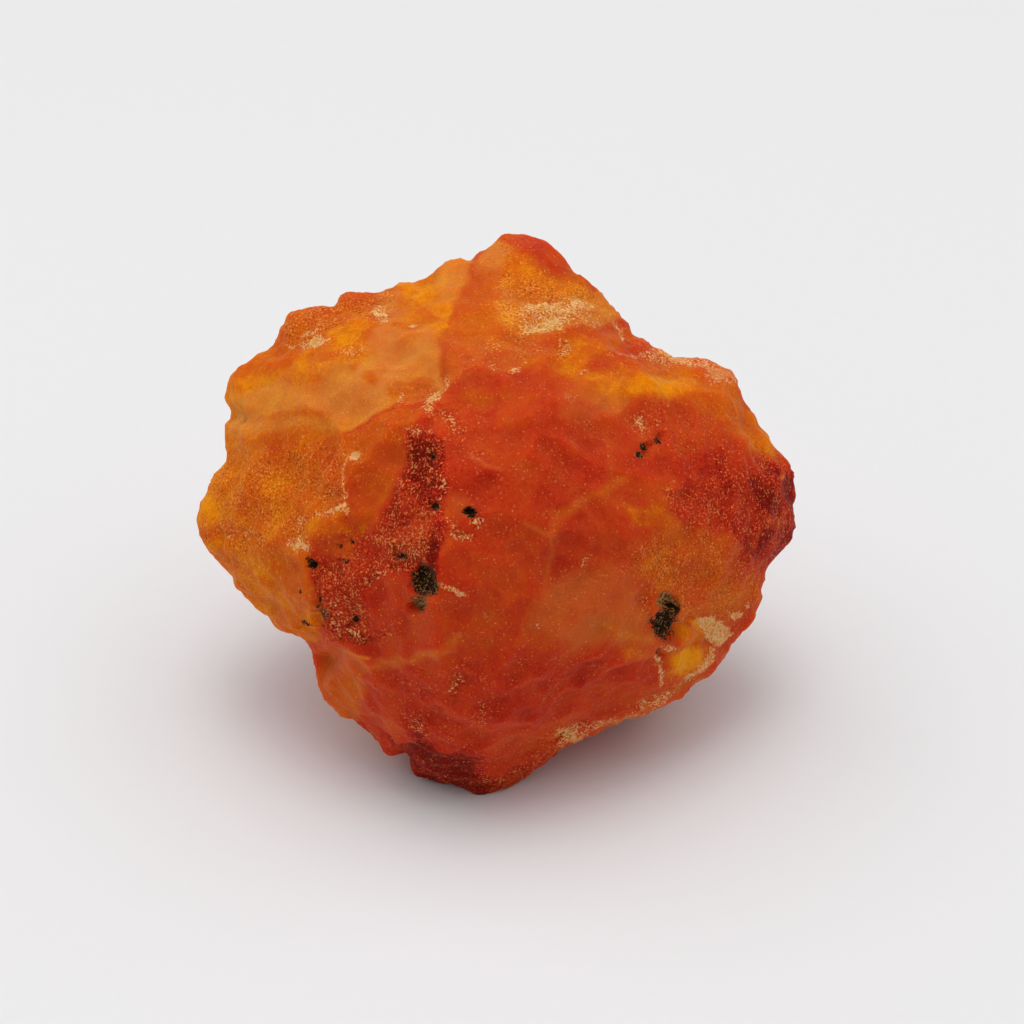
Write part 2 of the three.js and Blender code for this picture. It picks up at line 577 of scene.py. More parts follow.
# The broad face's areas, largest first. Across and up in millimetres, as seen from before the face.
AREAS = (
    # the lit faces on the left of the long ridge
    Area(((-2.2, 19.0), (-3.4, 16.0), (-4.2, 13.6), (-4.6, 10.4), (-8.6, 8.3), (-12.2, 6.2),
          (-11.4, 4.0), (-11.4, 0.0), (-14.5, -2.0), (-14.5, -10.0), (-18.0, -13.0), (-27.0, -6.0),
          (-27.0, 10.0), (-18.0, 18.0), (-6.0, 22.0)), tone(0.24, 0.14, 0.35), 0.25, 0.5),
    Area(((-22.0, 4.0), (-12.0, 5.4), (-11.6, 0.4), (-14.6, -2.2), (-18.0, -3.2), (-23.5, -3.0)),
         tone(0.28, 0.08, 0.85), 0.8, 1.2),
    Area(((-18.0, 5.6), (-12.4, 5.8), (-12.2, 1.0), (-15.5, -0.8), (-17.4, 2.0)),
         tone(0.38, 0.06, 0.8), 0.9, 1.2),
    Area(((-20.8, 9.0), (-14.5, 10.2), (-9.4, 9.6), (-8.6, 8.4), (-12.2, 6.3), (-16.0, 6.8),
          (-20.8, 5.8)), tone(0.16, 0.50, 0.3), 0.25, 0.6),
    Area(((-20.0, 10.2), (-16.2, 14.0), (-14.8, 12.6), (-15.2, 11.0), (-18.2, 9.9)),
         tone(0.37, 0.0, 0.15), 0.35, 0.6),
    Area(((-20.2, 10.0), (-15.4, 11.0), (-12.8, 12.2), (-13.2, 10.6), (-20.4, 8.9)),
         tone(0.17, 0.15, 0.15), 0.4, 0.8),
    Area(((-16.4, 13.8), (-15.2, 16.0), (-8.0, 17.8), (-7.7, 16.8), (-8.6, 14.8), (-13.2, 14.3),
          (-13.4, 12.4), (-15.8, 12.4)), tone(0.38, 0.10, 1.0), 0.25, 0.7),
    Area(((-13.0, 14.4), (-9.4, 14.3), (-10.4, 12.6), (-12.6, 12.0)), tone(0.16, 0.0, 0.15), 0.35),
    # the smooth amber block under the top edge
    Area(((-7.9, 17.6), (-2.2, 19.6), (-3.0, 17.0), (-4.1, 13.9), (-6.0, 13.9), (-8.2, 14.9)),
         tone(0.18, 0.06, 0.04), 0.1, 0.3),
    Area(((-4.8, 18.6), (-2.2, 19.4), (-3.5, 16.0), (-4.4, 16.6)), tone(0.16, 0.50, 0.05), 0.5),
    # the frosted scoops, and the orange wedge between them
    Area(((-10.6, 12.4), (-9.4, 14.2), (-4.2, 13.8), (-4.5, 11.0), (-7.2, 10.2), (-9.2, 10.2)),
         tone(0.20, 0.48, 0.1), 0.3, 0.7),
    Area(((-13.8, 11.0), (-11.4, 11.8), (-9.2, 10.0), (-8.4, 8.5), (-12.0, 6.8), (-14.2, 8.6)),
         tone(0.21, 0.58, 0.15), 0.2, 0.5),
    Area(((-11.8, 11.4), (-10.6, 12.0), (-8.8, 9.8), (-9.6, 9.7)), tone(0.31, 0.0, 0.05), 0.2, 0.3),
    Area(((-8.4, 9.8), (-6.2, 10.8), (-4.6, 10.8), (-4.6, 9.4), (-7.4, 8.6)),
         tone(0.31, 0.18, 0.4), 0.3),
    # the lower left
    Area(((-21.0, -3.4), (-14.8, -3.0), (-14.4, -10.0), (-20.0, -8.0)), tone(0.21, 0.05, 0.4), 0.7),
    Area(((-17.0, -4.2), (-14.6, -3.8), (-14.6, -9.6), (-16.8, -9.0)), tone(0.31, 0.0, 0.3), 0.6),
    Area(((-14.8, -0.4), (-12.2, -0.4), (-10.8, -1.6), (-14.4, -2.6)),
         tone(0.29, 0.0, 0.3), 0.3, 0.5),
    # the knob, the sandy slope and the warm top of the wide face
    Area(((-2.2, 19.0), (0.0, 18.4), (1.0, 14.6), (-4.2, 12.8), (-3.5, 16.0)),
         tone(0.41, 0.06, 0.25), 0.3, 0.6),
    Area(((-4.2, 13.7), (0.4, 13.8), (4.0, 13.2), (3.6, 11.4), (0.4, 10.4), (-4.5, 9.8)),
         tone(0.49, 0.16, 0.45), 0.6),
    Area(((-1.8, 18.6), (-0.6, 20.4), (0.8, 20.2), (0.8, 18.6)), tone(0.20, 0.55, 0.5), 0.4, 0.7),
    Area(((0.5, 20.2), (2.2, 19.6), (6.0, 17.6), (7.0, 15.8), (3.0, 16.8), (-0.4, 17.4)),
         tone(0.24, 0.10, 0.85), 0.5),
    Area(((-0.2, 20.4), (1.0, 22.0), (5.0, 21.2), (4.6, 19.0), (3.2, 18.9), (1.4, 20.2)),
         tone(0.47, 0.0, 0.35), 0.35, 0.7),
    Area(((0.0, 17.4), (4.0, 16.8), (8.4, 16.2), (8.0, 14.4), (4.4, 13.8), (1.6, 13.8),
          (-0.4, 15.4)), tone(0.24, 0.35, 1.0), 0.5),
    Area(((5.2, 15.6), (8.2, 16.6), (9.4, 14.6), (5.8, 14.3)), tone(0.21, 0.45, 0.35), 0.3, 0.7),
    Area(((4.2, 13.4), (8.6, 14.0), (10.2, 13.0), (7.4, 12.0), (6.0, 10.2), (3.4, 10.4)),
         tone(0.32, 0.0, 0.15), 0.5, 0.8),
    Area(((1.4, 11.8), (3.6, 12.2), (3.6, 10.4), (1.2, 10.5)), tone(0.44, 0.0, 0.1), 0.4, 0.6),
    Area(((8.4, 12.2), (13.6, 11.8), (17.0, 11.0), (14.0, 9.4), (9.6, 10.0)),
         tone(0.40, 0.0, 0.25), 0.6, 0.8),
    Area(((13.6, 10.4), (17.8, 10.0), (20.6, 5.4), (19.6, 4.6), (17.4, 6.0), (14.6, 8.4)),
         tone(0.31, 0.03, 0.3), 0.7, 0.9),
    Area(((-0.4, 9.9), (3.3, 9.6), (3.4, 8.0), (2.2, 6.4), (-0.4, 6.2)),
         tone(0.46, 0.0, 0.12), 0.3),
    Area(((4.4, 10.0), (10.0, 10.1), (10.4, 8.4), (7.6, 7.0), (4.8, 7.4)),
         tone(0.60, 0.22, 0.15), 0.6),
    Area(((10.0, 8.8), (16.0, 8.0), (18.4, 4.6), (14.0, 4.2), (10.6, 6.2)),
         tone(0.57, 0.05, 0.55), 0.7, 1.0),
    # the deeper red petals of the wide face
    Area(((4.4, 6.8), (9.0, 6.0), (8.6, 4.7), (5.0, 5.0)), tone(0.67, 0.04, 0.1), 0.5, 0.9),
    Area(((5.2, 4.3), (8.2, 4.2), (8.0, 2.2), (5.0, 2.4)), tone(0.71, 0.0, 0.05), 0.5, 0.9),
    Area(((9.2, 4.2), (12.2, 4.4), (12.6, 2.8), (9.4, 2.5)), tone(0.69, 0.0, 0.05), 0.4, 0.8),
    Area(((12.4, 4.2), (17.2, 4.8), (17.4, 2.6), (13.8, 2.2)), tone(0.72, 0.0, 0.35), 0.5, 0.9),
    Area(((3.2, 2.2), (5.2, 2.3), (4.2, 0.5), (2.6, 0.1)), tone(0.67, 0.0, 0.05), 0.3, 0.6),
    Area(((5.0, -0.4), (8.6, 0.6), (10.6, -0.4), (9.4, -3.6), (4.8, -3.0)),
         tone(0.64, 0.04, 0.12), 0.4, 0.7),
    Area(((4.2, -3.4), (6.4, -4.0), (6.0, -6.0), (4.2, -6.2)), tone(0.67, 0.0, 0.1), 0.4, 0.7),
    Area(((-3.8, 4.6), (-1.2, 4.4), (0.0, 2.6), (-2.4, 1.4), (-3.8, 1.8)),
         tone(0.65, 0.03, 0.3), 0.4),
    Area(((-4.5, -1.6), (-3.2, -1.8), (-1.0, -3.4), (-1.4, -5.8), (-4.6, -4.8)),
         tone(0.55, 0.0, 0.02), 0.3, 0.5),
    Area(((5.0, -5.0), (10.6, -4.6), (11.6, -9.4), (7.0, -11.2), (2.4, -9.2)),
         tone(0.57, 0.28, 0.25), 1.0, 1.2),
    Area(((8.0, -7.6), (11.6, -7.4), (12.0, -10.6), (8.6, -9.8)), tone(0.50, 0.22, 0.3), 0.9, 1.2),
    # the grainy orange ground on the right, and the maroon ground at the right end
    Area(((10.0, -2.2), (14.0, -0.8), (18.2, -1.6), (20.4, -5.0), (18.4, -8.6), (13.8, -8.0),
          (10.0, -4.8)), tone(0.45, 0.06, 0.75), 0.7, 1.2),
    Area(((12.0, 1.8), (17.4, 2.6), (18.4, -2.8), (14.4, -1.0)), tone(0.67, 0.0, 0.85), 0.7, 1.1),
    Area(((9.8, 0.4), (12.2, 0.6), (14.4, -1.0), (13.8, -2.2), (10.2, -0.8)),
         tone(0.33, 0.0, 0.35), 0.3, 0.7),
    Area(((16.8, 3.4), (20.2, 4.6), (23.4, 4.0), (23.4, -3.0), (20.2, -5.0), (18.4, -3.4)),
         tone(0.80, 0.0, 0.95), 1.9, 1.5),
    Area(((19.2, 2.6), (23.4, 3.4), (23.4, -3.2), (21.0, -4.2), (19.6, -3.4), (20.2, -0.6)),
         tone(0.96, 0.0, 0.7), 1.2, 1.3),
    Area(((20.3, -0.2), (22.0, 0.0), (21.7, -0.9), (20.2, -1.0)), tone(0.84, 0.1, 1.0), 0.4, 0.9),
    # the lower body
    Area(((-10.8, -12.6), (-6.0, -12.0), (0.0, -10.8), (9.0, -10.8), (12.4, -12.6), (6.0, -17.4),
          (0.0, -22.0), (-11.0, -18.0)), tone(0.70, 0.0, 0.40), 0.9, 1.2),
    Area(((-11.4, -10.2), (-4.4, -9.8), (-5.4, -11.2), (-10.4, -11.8)), tone(0.66, 0.0, 0.1), 0.4),
    Area(((-10.6, -12.4), (-7.6, -13.4), (-7.6, -16.8), (-11.0, -17.0)),
         tone(0.62, 0.0, 0.15), 0.5),
    Area(((-2.2, -11.4), (3.6, -11.8), (4.0, -15.4), (-0.4, -17.4), (-3.4, -14.8)),
         tone(0.74, 0.0, 0.2), 1.3, 1.3),
    Area(((6.0, -12.2), (11.8, -11.4), (11.6, -13.0), (4.4, -15.6)),
         tone(0.70, 0.0, 0.15), 1.2, 1.2),
    Area(((-7.6, -17.6), (-5.0, -17.4), (-2.4, -18.6), (-0.6, -20.2), (-1.4, -21.6), (-8.0, -21.4)),
         tone(0.98, 0.0, 0.65), 1.4, 1.5),
    Area(((-13.8, -10.6), (-10.2, -11.2), (-10.8, -16.4), (-14.4, -15.0)),
         tone(0.41, 0.10, 0.12), 0.15, 0.4),
    Area(((-12.4, -12.6), (-10.7, -12.8), (-10.8, -15.8), (-12.2, -15.4)),
         tone(0.31, 0.0, 0.0), 0.5),
    Area(((12.8, -10.8), (16.0, -10.2), (15.4, -11.8), (14.0, -12.8), (12.8, -12.0)),
         tone(0.20, 0.0, 0.2), 0.5, 0.7),
    Spot(14.3, -11.2, 0.9, 0.6, tone(0.05, 0.0, 0.1), soft=0.9, ragged=0.7),
    Area(((13.8, -8.6), (15.2, -8.8), (15.8, -10.0), (13.6, -10.4)),
         tone(0.34, 0.0, 0.1), 0.15, 0.3),
    Area(((14.4, -8.2), (15.4, -8.3), (15.9, -9.8)), tone(0.16, 0.0, 0.0), 0.12, 0.2),
    # the orange shelf below the step, and the coarse band under it
    Area(((-12.2, 6.1), (-8.0, 8.4), (-6.0, 8.2), (-7.1, 4.6), (-9.3, 0.0), (-10.4, -1.6),
          (-11.6, 0.0), (-12.0, 4.4)), tone(0.37, 0.0, 0.3), 0.2, 0.5),
    Area(((-9.3, 5.2), (-7.5, 5.3), (-8.0, 2.6), (-9.2, 3.0)), tone(0.43, 0.0, 0.0), 0.2, 0.3),
    Area(((-11.3, 2.0), (-9.4, 1.9), (-9.2, -1.0), (-11.0, -0.8)), tone(0.44, 0.0, 0.0), 0.2, 0.3),
    Area(((-6.9, 6.4), (-4.0, 6.0), (-4.1, -1.0), (-4.7, -4.2), (-6.6, -5.4), (-7.4, -9.4),
          (-11.0, -10.4), (-14.2, -9.8), (-14.4, -3.2), (-12.0, -1.7), (-9.6, -1.6), (-7.6, 3.0)),
         tone(0.73, 0.05, 1.0), 0.15, 0.5),
    Area(((-6.9, 6.2), (-5.4, 6.5), (-4.3, 5.6), (-4.5, 1.0), (-4.7, -3.8), (-5.8, -1.0),
          (-7.2, 1.6)), tone(0.85, 0.0, 0.95), 1.0, 1.6),
    Area(((-7.4, 1.8), (-4.9, 0.6), (-5.2, -2.6), (-7.6, -4.4), (-11.6, -7.4), (-13.6, -6.4),
          (-12.0, -3.4), (-9.2, -1.4)), tone(0.79, 0.05, 1.0), 0.9, 1.4),
    Area(((-8.4, -1.0), (-5.6, -1.2), (-5.6, -3.2), (-8.4, -3.6)), tone(0.73, 0.15, 1.0), 0.9, 1.3),
    Area(((-14.4, -2.4), (-10.8, -1.6), (-11.2, -3.8), (-14.4, -3.8)), tone(0.46, 0.0, 0.4), 0.4),
    Area(((-10.6, -6.2), (-8.6, -4.8), (-6.7, -5.2), (-7.2, -9.2), (-10.2, -9.8)),
         tone(0.69, 0.0, 0.2), 0.5, 0.8),
)

# Smaller patches of tone: amber windows, glows and darker ends.
TONE_SPOTS = (
    Spot(10.6, 9.7, 4.4, 1.2, tone(0.20), soft=0.6),
    Spot(11.9, 9.6, 2.2, 0.7, tone(0.0, 0.0, 0.0), soft=0.8, ragged=0.3),
    Spot(-20.3, 9.0, 0.8, 0.8, tone(0.06, 0.0, 0.0), soft=0.5),
    Spot(-22.2, 0.2, 0.9, 1.2, tone(0.10, 0.1, 0.3), soft=0.5),
    Spot(-21.2, -2.4, 1.0, 0.7, tone(0.12, 0.0, 0.4), soft=0.6),
    Spot(-20.4, 2.6, 1.2, 2.0, tone(0.21), soft=0.7),
    Spot(-13.9, -1.1, 0.9, 0.5, tone(0.17, 0.0, 0.1), soft=0.4),
    Spot(-4.1, 15.4, 0.3, 1.6, tone(0.17, 0.1, 0.0), turn=-20, soft=0.5, ragged=0.3),
    Spot(-5.0, 14.2, 1.0, 0.3, tone(0.12, 0.0, 0.0), soft=0.6, ragged=0.3),
    Spot(5.6, 11.8, 1.0, 1.2, tone(0.26, 0.0, 0.1), soft=0.7),
    Spot(1.6, 19.0, 1.0, 0.8, tone(0.27, 0.0, 0.3), soft=0.7),
    Spot(3.2, 20.3, 1.8, 1.0, tone(0.62, 0.0, 0.3), turn=-30, soft=0.6),
    Spot(-1.5, 9.1, 1.1, 0.8, tone(0.35, 0.0, 0.2), soft=0.7),
    Spot(1.6, 10.3, 1.8, 0.35, tone(0.64, 0.1), soft=0.6),
    Spot(-8.6, 15.9, 0.9, 0.9, tone(0.34, 0.55), soft=0.7),
    Spot(10.4, -11.0, 1.1, 0.4, tone(0.34, 0.1), soft=0.7),
    Spot(4.2, -16.8, 1.6, 0.8, tone(0.60), turn=25, soft=0.7),
    Spot(-8.6, -14.6, 1.0, 0.8, tone(0.60), soft=0.7),
    Spot(-4.9, -3.2, 0.45, 1.1, tone(0.97, 0.0, 0.4), turn=8, soft=0.5, ragged=0.5),
    Spot(21.4, 2.7, 0.15, 0.15, tone(0.12), soft=0.5, ragged=0.0),
    Spot(17.0, -2.6, 1.4, 0.6, tone(0.40), soft=0.7),
    Spot(-3.2, 0.6, 0.9, 0.8, tone(0.48, 0.15), soft=0.7),
    Spot(-0.2, 13.6, 1.0, 0.9, tone(0.36), soft=0.7),
    Spot(19.6, 5.2, 1.2, 0.8, tone(0.22), turn=-45, soft=0.6),
)

# Light and dark lines where one shell of the break meets the next.
VEINS = (
    Streak(((-12.0, 9.8), (-10.2, 11.6), (-8.4, 13.2)), 0.9, tone(0.20, 0.75), 0.5, 0.8),
    Streak(((-9.6, 9.4), (-7.6, 11.4), (-5.6, 13.2)), 0.8, tone(0.17, 0.8), 0.5, 0.8),
    Streak(((-5.9, 13.6), (-5.2, 11.8), (-4.9, 9.9)), 0.6, tone(0.21, 0.7), 0.35, 0.6),
    Streak(((-19.6, 8.8), (-16.8, 9.1), (-14.2, 8.5)), 0.8, tone(0.12, 0.62), 0.5, 0.8),
    Streak(((-18.6, 7.2), (-16.0, 7.8), (-13.6, 7.4)), 0.3, tone(0.24, 0.2), 0.3, 0.6),
    Streak(((9.8, 2.6), (8.4, 1.8), (6.2, 0.8), (4.7, -0.4), (4.2, -1.8)),
           0.75, tone(0.37, 0.1), 0.35, 0.6),
    Streak(((8.7, 6.0), (8.7, 2.6)), 0.4, tone(0.50), 0.4),
    Streak(((4.2, -1.8), (3.9, -4.6), (3.6, -6.4)), 0.25, tone(0.50, 0.15), 0.25, 0.6),
    Streak(((2.0, -0.7), (3.0, -1.2), (4.1, -1.9)), 0.18, tone(0.42, 0.3), 0.14, 0.3),
    Streak(((-2.2, 4.4), (-0.9, 3.4), (0.2, 3.2)), 0.16, tone(0.52, 0.3), 0.14, 0.3),
    Streak(((11.4, -4.2), (12.6, -3.4), (14.0, -2.2)), 0.35, tone(0.34), 0.3, 0.6),
    Streak(((-10.6, -12.0), (-7.0, -11.6), (-4.6, -10.8), (-3.2, -9.6)),
           0.5, tone(0.45, 0.2), 0.45),
    Streak(((-12.0, -10.8), (-10.0, -11.3)), 0.1, tone(0.20, 0.8), 0.08, 0.2),
    Streak(((-12.0, 6.1), (-10.4, 6.9), (-9.6, 7.4), (-8.2, 8.2)), 0.12, tone(0.62), 0.1, 0.2),
    Streak(((-7.3, 10.2), (-6.4, 10.7), (-5.6, 10.8)), 0.12, tone(0.46), 0.12, 0.2),
    Streak(((-19.3, 7.1), (-18.6, 7.5)), 0.1, tone(0.5), 0.1, 0.2),
    Streak(((18.6, -3.6), (19.6, -2.6), (20.0, -1.4)), 0.18, tone(0.78, 0.15), 0.15, 0.3),
    Streak(((2.6, -13.6), (3.6, -14.8), (4.2, -15.8)), 0.2, tone(0.62), 0.2, 0.3),
    Streak(((8.2, -8.8), (10.0, -9.6), (11.6, -9.8)), 0.3, tone(0.40, 0.3), 0.3, 0.6),
)

# Crust, cream and sand. Grainy ones get their speckle in the finish: light grains partly painted
# glints, dark ones partly painted shade.
CRUST = (
    Streak(((8.6, 14.4), (9.4, 13.2)), 0.2, crust(0.7), 0.15, 0.4),
    Streak(((10.6, 13.2), (11.8, 12.6)), 0.7, crust(0.8), 0.3, 0.5),
    Streak(((12.1, 12.1), (13.0, 11.6), (14.4, 11.3)), 1.0, crust(0.85), 0.4, 0.8),
    Streak(((14.4, 11.3), (15.4, 11.2), (17.4, 9.9)), 0.8, crust(0.65), 0.4, 0.8),
    Streak(((8.6, 12.2), (9.6, 12.1), (11.6, 12.2)), 0.2, crust(0.6), 0.2, 0.6),
    Spot(16.9, 10.8, 1.0, 0.6, {Mark.RIND: 0.45, Mark.BLOOM: 0.5}),
    Streak(((-2.6, -20.5), (0.0, -20.6), (1.8, -19.4), (3.4, -18.4), (4.8, -17.2)), 0.8,
           crust(0.2, 1.0), 0.4, 0.6),
    Streak(((4.8, -17.2), (7.0, -16.3), (9.2, -15.6), (12.0, -14.1), (12.9, -13.4)), 0.7,
           crust(0.62), 0.4, 0.8),
    Streak(((4.7, -16.8), (5.9, -17.0)), 0.3, crust(0.9), 0.2, 0.3),
    Streak(((13.0, -13.4), (14.8, -12.9)),
           0.7, {Mark.BLOOM: 0.3, Mark.GRIT: 1.0, Mark.RIND: 0.3}, 0.2),
    Streak(((14.2, -12.7), (15.2, -11.9), (15.9, -11.1), (16.2, -10.3)), 0.45,
           crust(0.85), 0.2, 0.4),
    Streak(((12.1, -10.2), (12.1, -11.6), (12.4, -12.8)), 0.4, crust(0.7), 0.25, 0.6),
    Area(((15.2, -8.2), (16.4, -8.1), (17.7, -9.2), (16.8, -10.2), (15.9, -9.9)),
         crust(0.95, 0.0), 0.12, 0.3),
    crumb(17.9, -7.9, 0.5, 0.45, 0.9, soft=0.3), crumb(18.6, -7.0, 0.4, 0.5, 0.5, soft=0.5),
    crumb(-11.3, 4.3, 0.5, 0.45, 1.0, 0.0, soft=0.5, ragged=0.6),
    Streak(((-11.8, 4.0), (-12.1, 3.2), (-11.9, 2.2), (-11.7, 0.6)), 0.3, crust(0.75), 0.2, 0.6),
    Streak(((-13.2, -0.2), (-12.0, 0.5), (-11.5, 0.1)), 0.6, crust(0.8), 0.3, 0.6),
    Streak(((-15.2, -0.4), (-14.0, -0.3), (-13.0, -0.4)), 0.5, crust(0.5), 0.3),
    crumb(-15.3, -2.7, 0.8, 0.7, 0.75), crumb(-15.2, -0.9, 0.5, 0.8, 0.5),
    crumb(-18.9, -1.8, 1.2, 0.4, 0.45, turn=-20), crumb(-20.5, -1.6, 0.4, 0.3, 0.5, soft=0.5),
    crumb(-5.4, 9.1, 0.8, 0.8, 0.85, 1.0, turn=-25), crumb(-5.9, 7.9, 0.6, 0.7, 0.8, 1.0),
    crumb(-7.8, 9.0, 0.3, 0.7, 0.55), crumb(-4.3, 10.1, 0.25, 0.6, 0.6, turn=-30),
    crumb(-3.6, 7.2, 1.6, 0.5, 0.45, 1.0, turn=-25), crumb(-6.2, 6.4, 1.2, 0.3, 0.55),
    crumb(4.0, 15.3, 3.6, 1.1, 0.58, 1.0, turn=-8, ragged=1.4),
    crumb(3.6, 15.9, 1.7, 0.35, 0.9, turn=-20, ragged=1.4),
    crumb(6.3, 15.8, 0.8, 0.3, 0.75, ragged=1.4),
    crumb(3.4, 14.5, 1.9, 0.5, 0.9, 1.0, turn=10, ragged=1.4),
    crumb(5.0, 12.9, 0.7, 0.5, 0.55, 0.9),
    crumb(1.1, 10.8, 0.7, 0.35, 0.65), crumb(1.9, 11.5, 0.3, 0.25, 0.6),
    crumb(-0.9, 11.1, 0.7, 0.3, 0.45), crumb(-0.6, 13.0, 0.9, 0.5, 0.4),
    crumb(5.3, 9.0, 0.6, 0.5, 0.45, 0.8), crumb(6.7, 10.7, 0.5, 0.25, 0.5),
    crumb(11.2, 7.0, 0.6, 0.5, 0.5, 0.9), crumb(12.6, 7.1, 0.4, 0.4, 0.45, 0.9),
    crumb(-14.2, 12.8, 1.2, 0.5, 0.95, 1.0, turn=12, ragged=1.3),
    crumb(-14.6, 13.8, 0.8, 0.3, 0.7, turn=20),
    crumb(-16.0, 12.8, 0.3, 0.2, 0.9, soft=0.4, ragged=0.4),
    crumb(-9.1, 15.2, 0.6, 0.7, 0.7, turn=-25),
    crumb(-6.6, 14.5, 0.35, 0.28, 0.9, soft=0.5, ragged=0.6),
    crumb(-11.4, 12.3, 1.1, 0.3, 0.5, turn=20),
    Streak(((-4.5, -5.6), (-3.6, -5.8), (-2.7, -6.4)), 0.35, crust(0.85), 0.25, 0.5),
    crumb(-3.0, -1.5, 1.2, 0.5, 0.6, 1.0, turn=-20, soft=0.5),
    crumb(-3.6, -0.5, 0.5, 0.35, 0.6, soft=0.5), crumb(-1.7, -0.7, 0.5, 0.6, 0.5, 1.0, soft=0.5),
    crumb(-4.5, 1.6, 0.35, 1.8, 0.55, 1.0, turn=-5), crumb(-9.0, -4.8, 0.7, 0.4, 0.5),
    crumb(-6.4, -3.2, 0.4, 0.4, 0.5), crumb(-11.6, -9.4, 0.9, 0.4, 0.55, turn=-20),
    crumb(-12.8, -8.0, 0.5, 1.2, 0.45, 1.0),
    Streak(((-6.9, -5.0), (-7.1, -6.6), (-6.8, -7.8)), 0.35, crust(0.45), 0.25),
    crumb(-6.2, -16.4, 1.2, 0.7, 0.42, 0.9, turn=-30), crumb(-3.4, -13.4, 0.5, 0.9, 0.42, 0.9),
    crumb(-1.2, -15.6, 0.35, 1.2, 0.4, 0.8), crumb(3.0, -9.1, 0.35, 0.35, 0.5, soft=0.5),
    crumb(7.0, -4.0, 0.6, 0.4, 0.45, turn=35), crumb(13.0, -10.3, 0.5, 0.3, 0.6, soft=0.5),
    crumb(11.6, -7.2, 0.4, 1.0, 0.4, 0.9),
)

# Nicks in the rim: across, up, wide, high, deep.
NICKS = tuple(Spot(across, up, wide, high, {Mark.SINK: deep}, soft=0.6, ragged=0.4)
              for across, up, wide, high, deep in (
    (-13.2, -11.4, 0.9, 0.7, 0.6), (-19.6, -6.9, 0.9, 0.8, 0.4), (-20.2, 7.5, 0.8, 0.7, 0.45),
    (-7.2, -18.5, 0.7, 0.6, 0.5), (-12.8, 15.9, 0.6, 0.5, 0.4), (-2.2, 19.2, 0.6, 0.5, 0.3),
    (10.3, 13.6, 0.6, 0.6, 0.3), (20.4, -4.0, 0.9, 0.8, 0.3), (-21.6, 4.6, 1.6, 1.5, 0.5),
    (-21.5, -4.6, 1.4, 1.3, 0.5), (-18.4, -8.4, 1.4, 1.3, 0.5), (-15.2, -10.6, 1.3, 1.2, 0.5),
    (-17.8, 13.2, 1.3, 1.2, 0.45), (-5.8, 18.2, 1.3, 1.0, 0.45),
))

# Holes, each with dark dirt in it.
PITS = (
    Pit(-5.8, -5.4, 0.85, 1.15, 0.9, -5, 0.12),
    Pit(-6.2, -7.2, 0.6, 0.5, 0.7, 0, 0.55),
    Pit(12.7, -8.6, 0.8, 1.05, 0.7, 0, 0.10),
    Pit(12.9, -6.9, 0.65, 0.55, 0.5, 0, 0.7),
    Pit(13.3, -7.3, 0.3, 0.25, 0.5),
    Pit(12.2, -10.7, 0.28, 0.24, 0.4),
    Pit(12.4, 5.7, 0.33, 0.30, 0.5),
    Pit(11.4, 5.1, 0.30, 0.28, 0.45),
    Pit(11.0, 4.5, 0.27, 0.25, 0.4),
    Pit(-2.2, 0.0, 0.5, 0.22, 0.5),
    Pit(-2.0, -0.4, 0.25, 0.16, 0.3),
    Pit(-13.7, -8.1, 0.42, 0.75, 0.6, 15, 0.3),
    Pit(-14.2, -4.1, 0.28, 0.3, 0.5),
    Pit(-14.4, -3.7, 0.2, 0.12, 0.2),
    Pit(-14.0, -6.8, 0.24, 0.2, 0.4),
    Pit(-15.0, -8.7, 0.3, 0.14, 0.3),
    Pit(-15.3, -6.1, 0.16, 0.13, 0.25),
    Pit(-12.2, -2.5, 0.17, 0.13, 0.25),
    Pit(-11.3, -2.2, 0.15, 0.1, 0.2),
    Pit(-11.9, -3.7, 0.24, 0.13, 0.3),
    Pit(-11.3, -8.6, 0.3, 0.25, 0.4),
    Pit(-5.1, 4.3, 0.22, 0.16, 0.25),
    Pit(-5.0, 0.5, 0.25, 0.3, 0.3),
    Pit(-7.5, -3.4, 0.3, 0.2, 0.3, 0, 0.3),
)

# Shell-like breaks on the broad face, and the larger ones behind it.
BOWLS = (
    Bowl(-7.6, 10.6, 7.0, 0.30, (0.10, 0.05), 0.028, 1.0, (-5.0, 4.0)),
    Bowl(-12.8, 8.4, 6.0, 0.24, (-0.05, 0.1), 0.024, 0.9, (4.0, 3.5)),
    Bowl(-5.6, 15.4, 4.0, 0.15),
    Bowl(-16.0, 5.0, 7.5, 0.30, (0.05, 0.0)),
    Bowl(-9.6, 1.4, 4.0, 0.25),
    Bowl(1.5, 8.4, 5.0, 0.22, (0.0, 0.06)),
    Bowl(7.6, 3.4, 8.0, 0.32, (0.0, 0.05), 0.02, 1.4, (3.0, 4.0)),
    Bowl(6.4, -4.8, 9.0, 0.36, (0.0, 0.04), 0.022, 1.5, (-4.0, 3.0)),
    Bowl(13.4, -2.6, 6.0, 0.25),
    Bowl(-1.0, -9.6, 8.0, 0.3, (0.0, 0.05), 0.02, 1.4, (-3.0, 4.0)),
    Bowl(5.6, -12.4, 6.0, 0.25),
    Bowl(0.0, 0.0, 15.0, 1.3, (0.1, 0.0), 0.04, 1.8, (-7.0, 4.0), True),
    Bowl(-10.0, 8.0, 13.0, 1.2, (0.0, 0.1), 0.04, 2.0, (6.0, 6.0), True),
    Bowl(10.0, 7.0, 13.0, 1.2, (-0.1, 0.0), 0.03, 1.7, (6.0, 5.0), True),
    Bowl(9.0, -8.0, 12.0, 1.0, (0.0, 0.0), 0.03, 1.6, (-5.0, 6.0), True),
    Bowl(-9.0, -7.0, 11.0, 0.9, (0.1, 0.0), back=True),
)


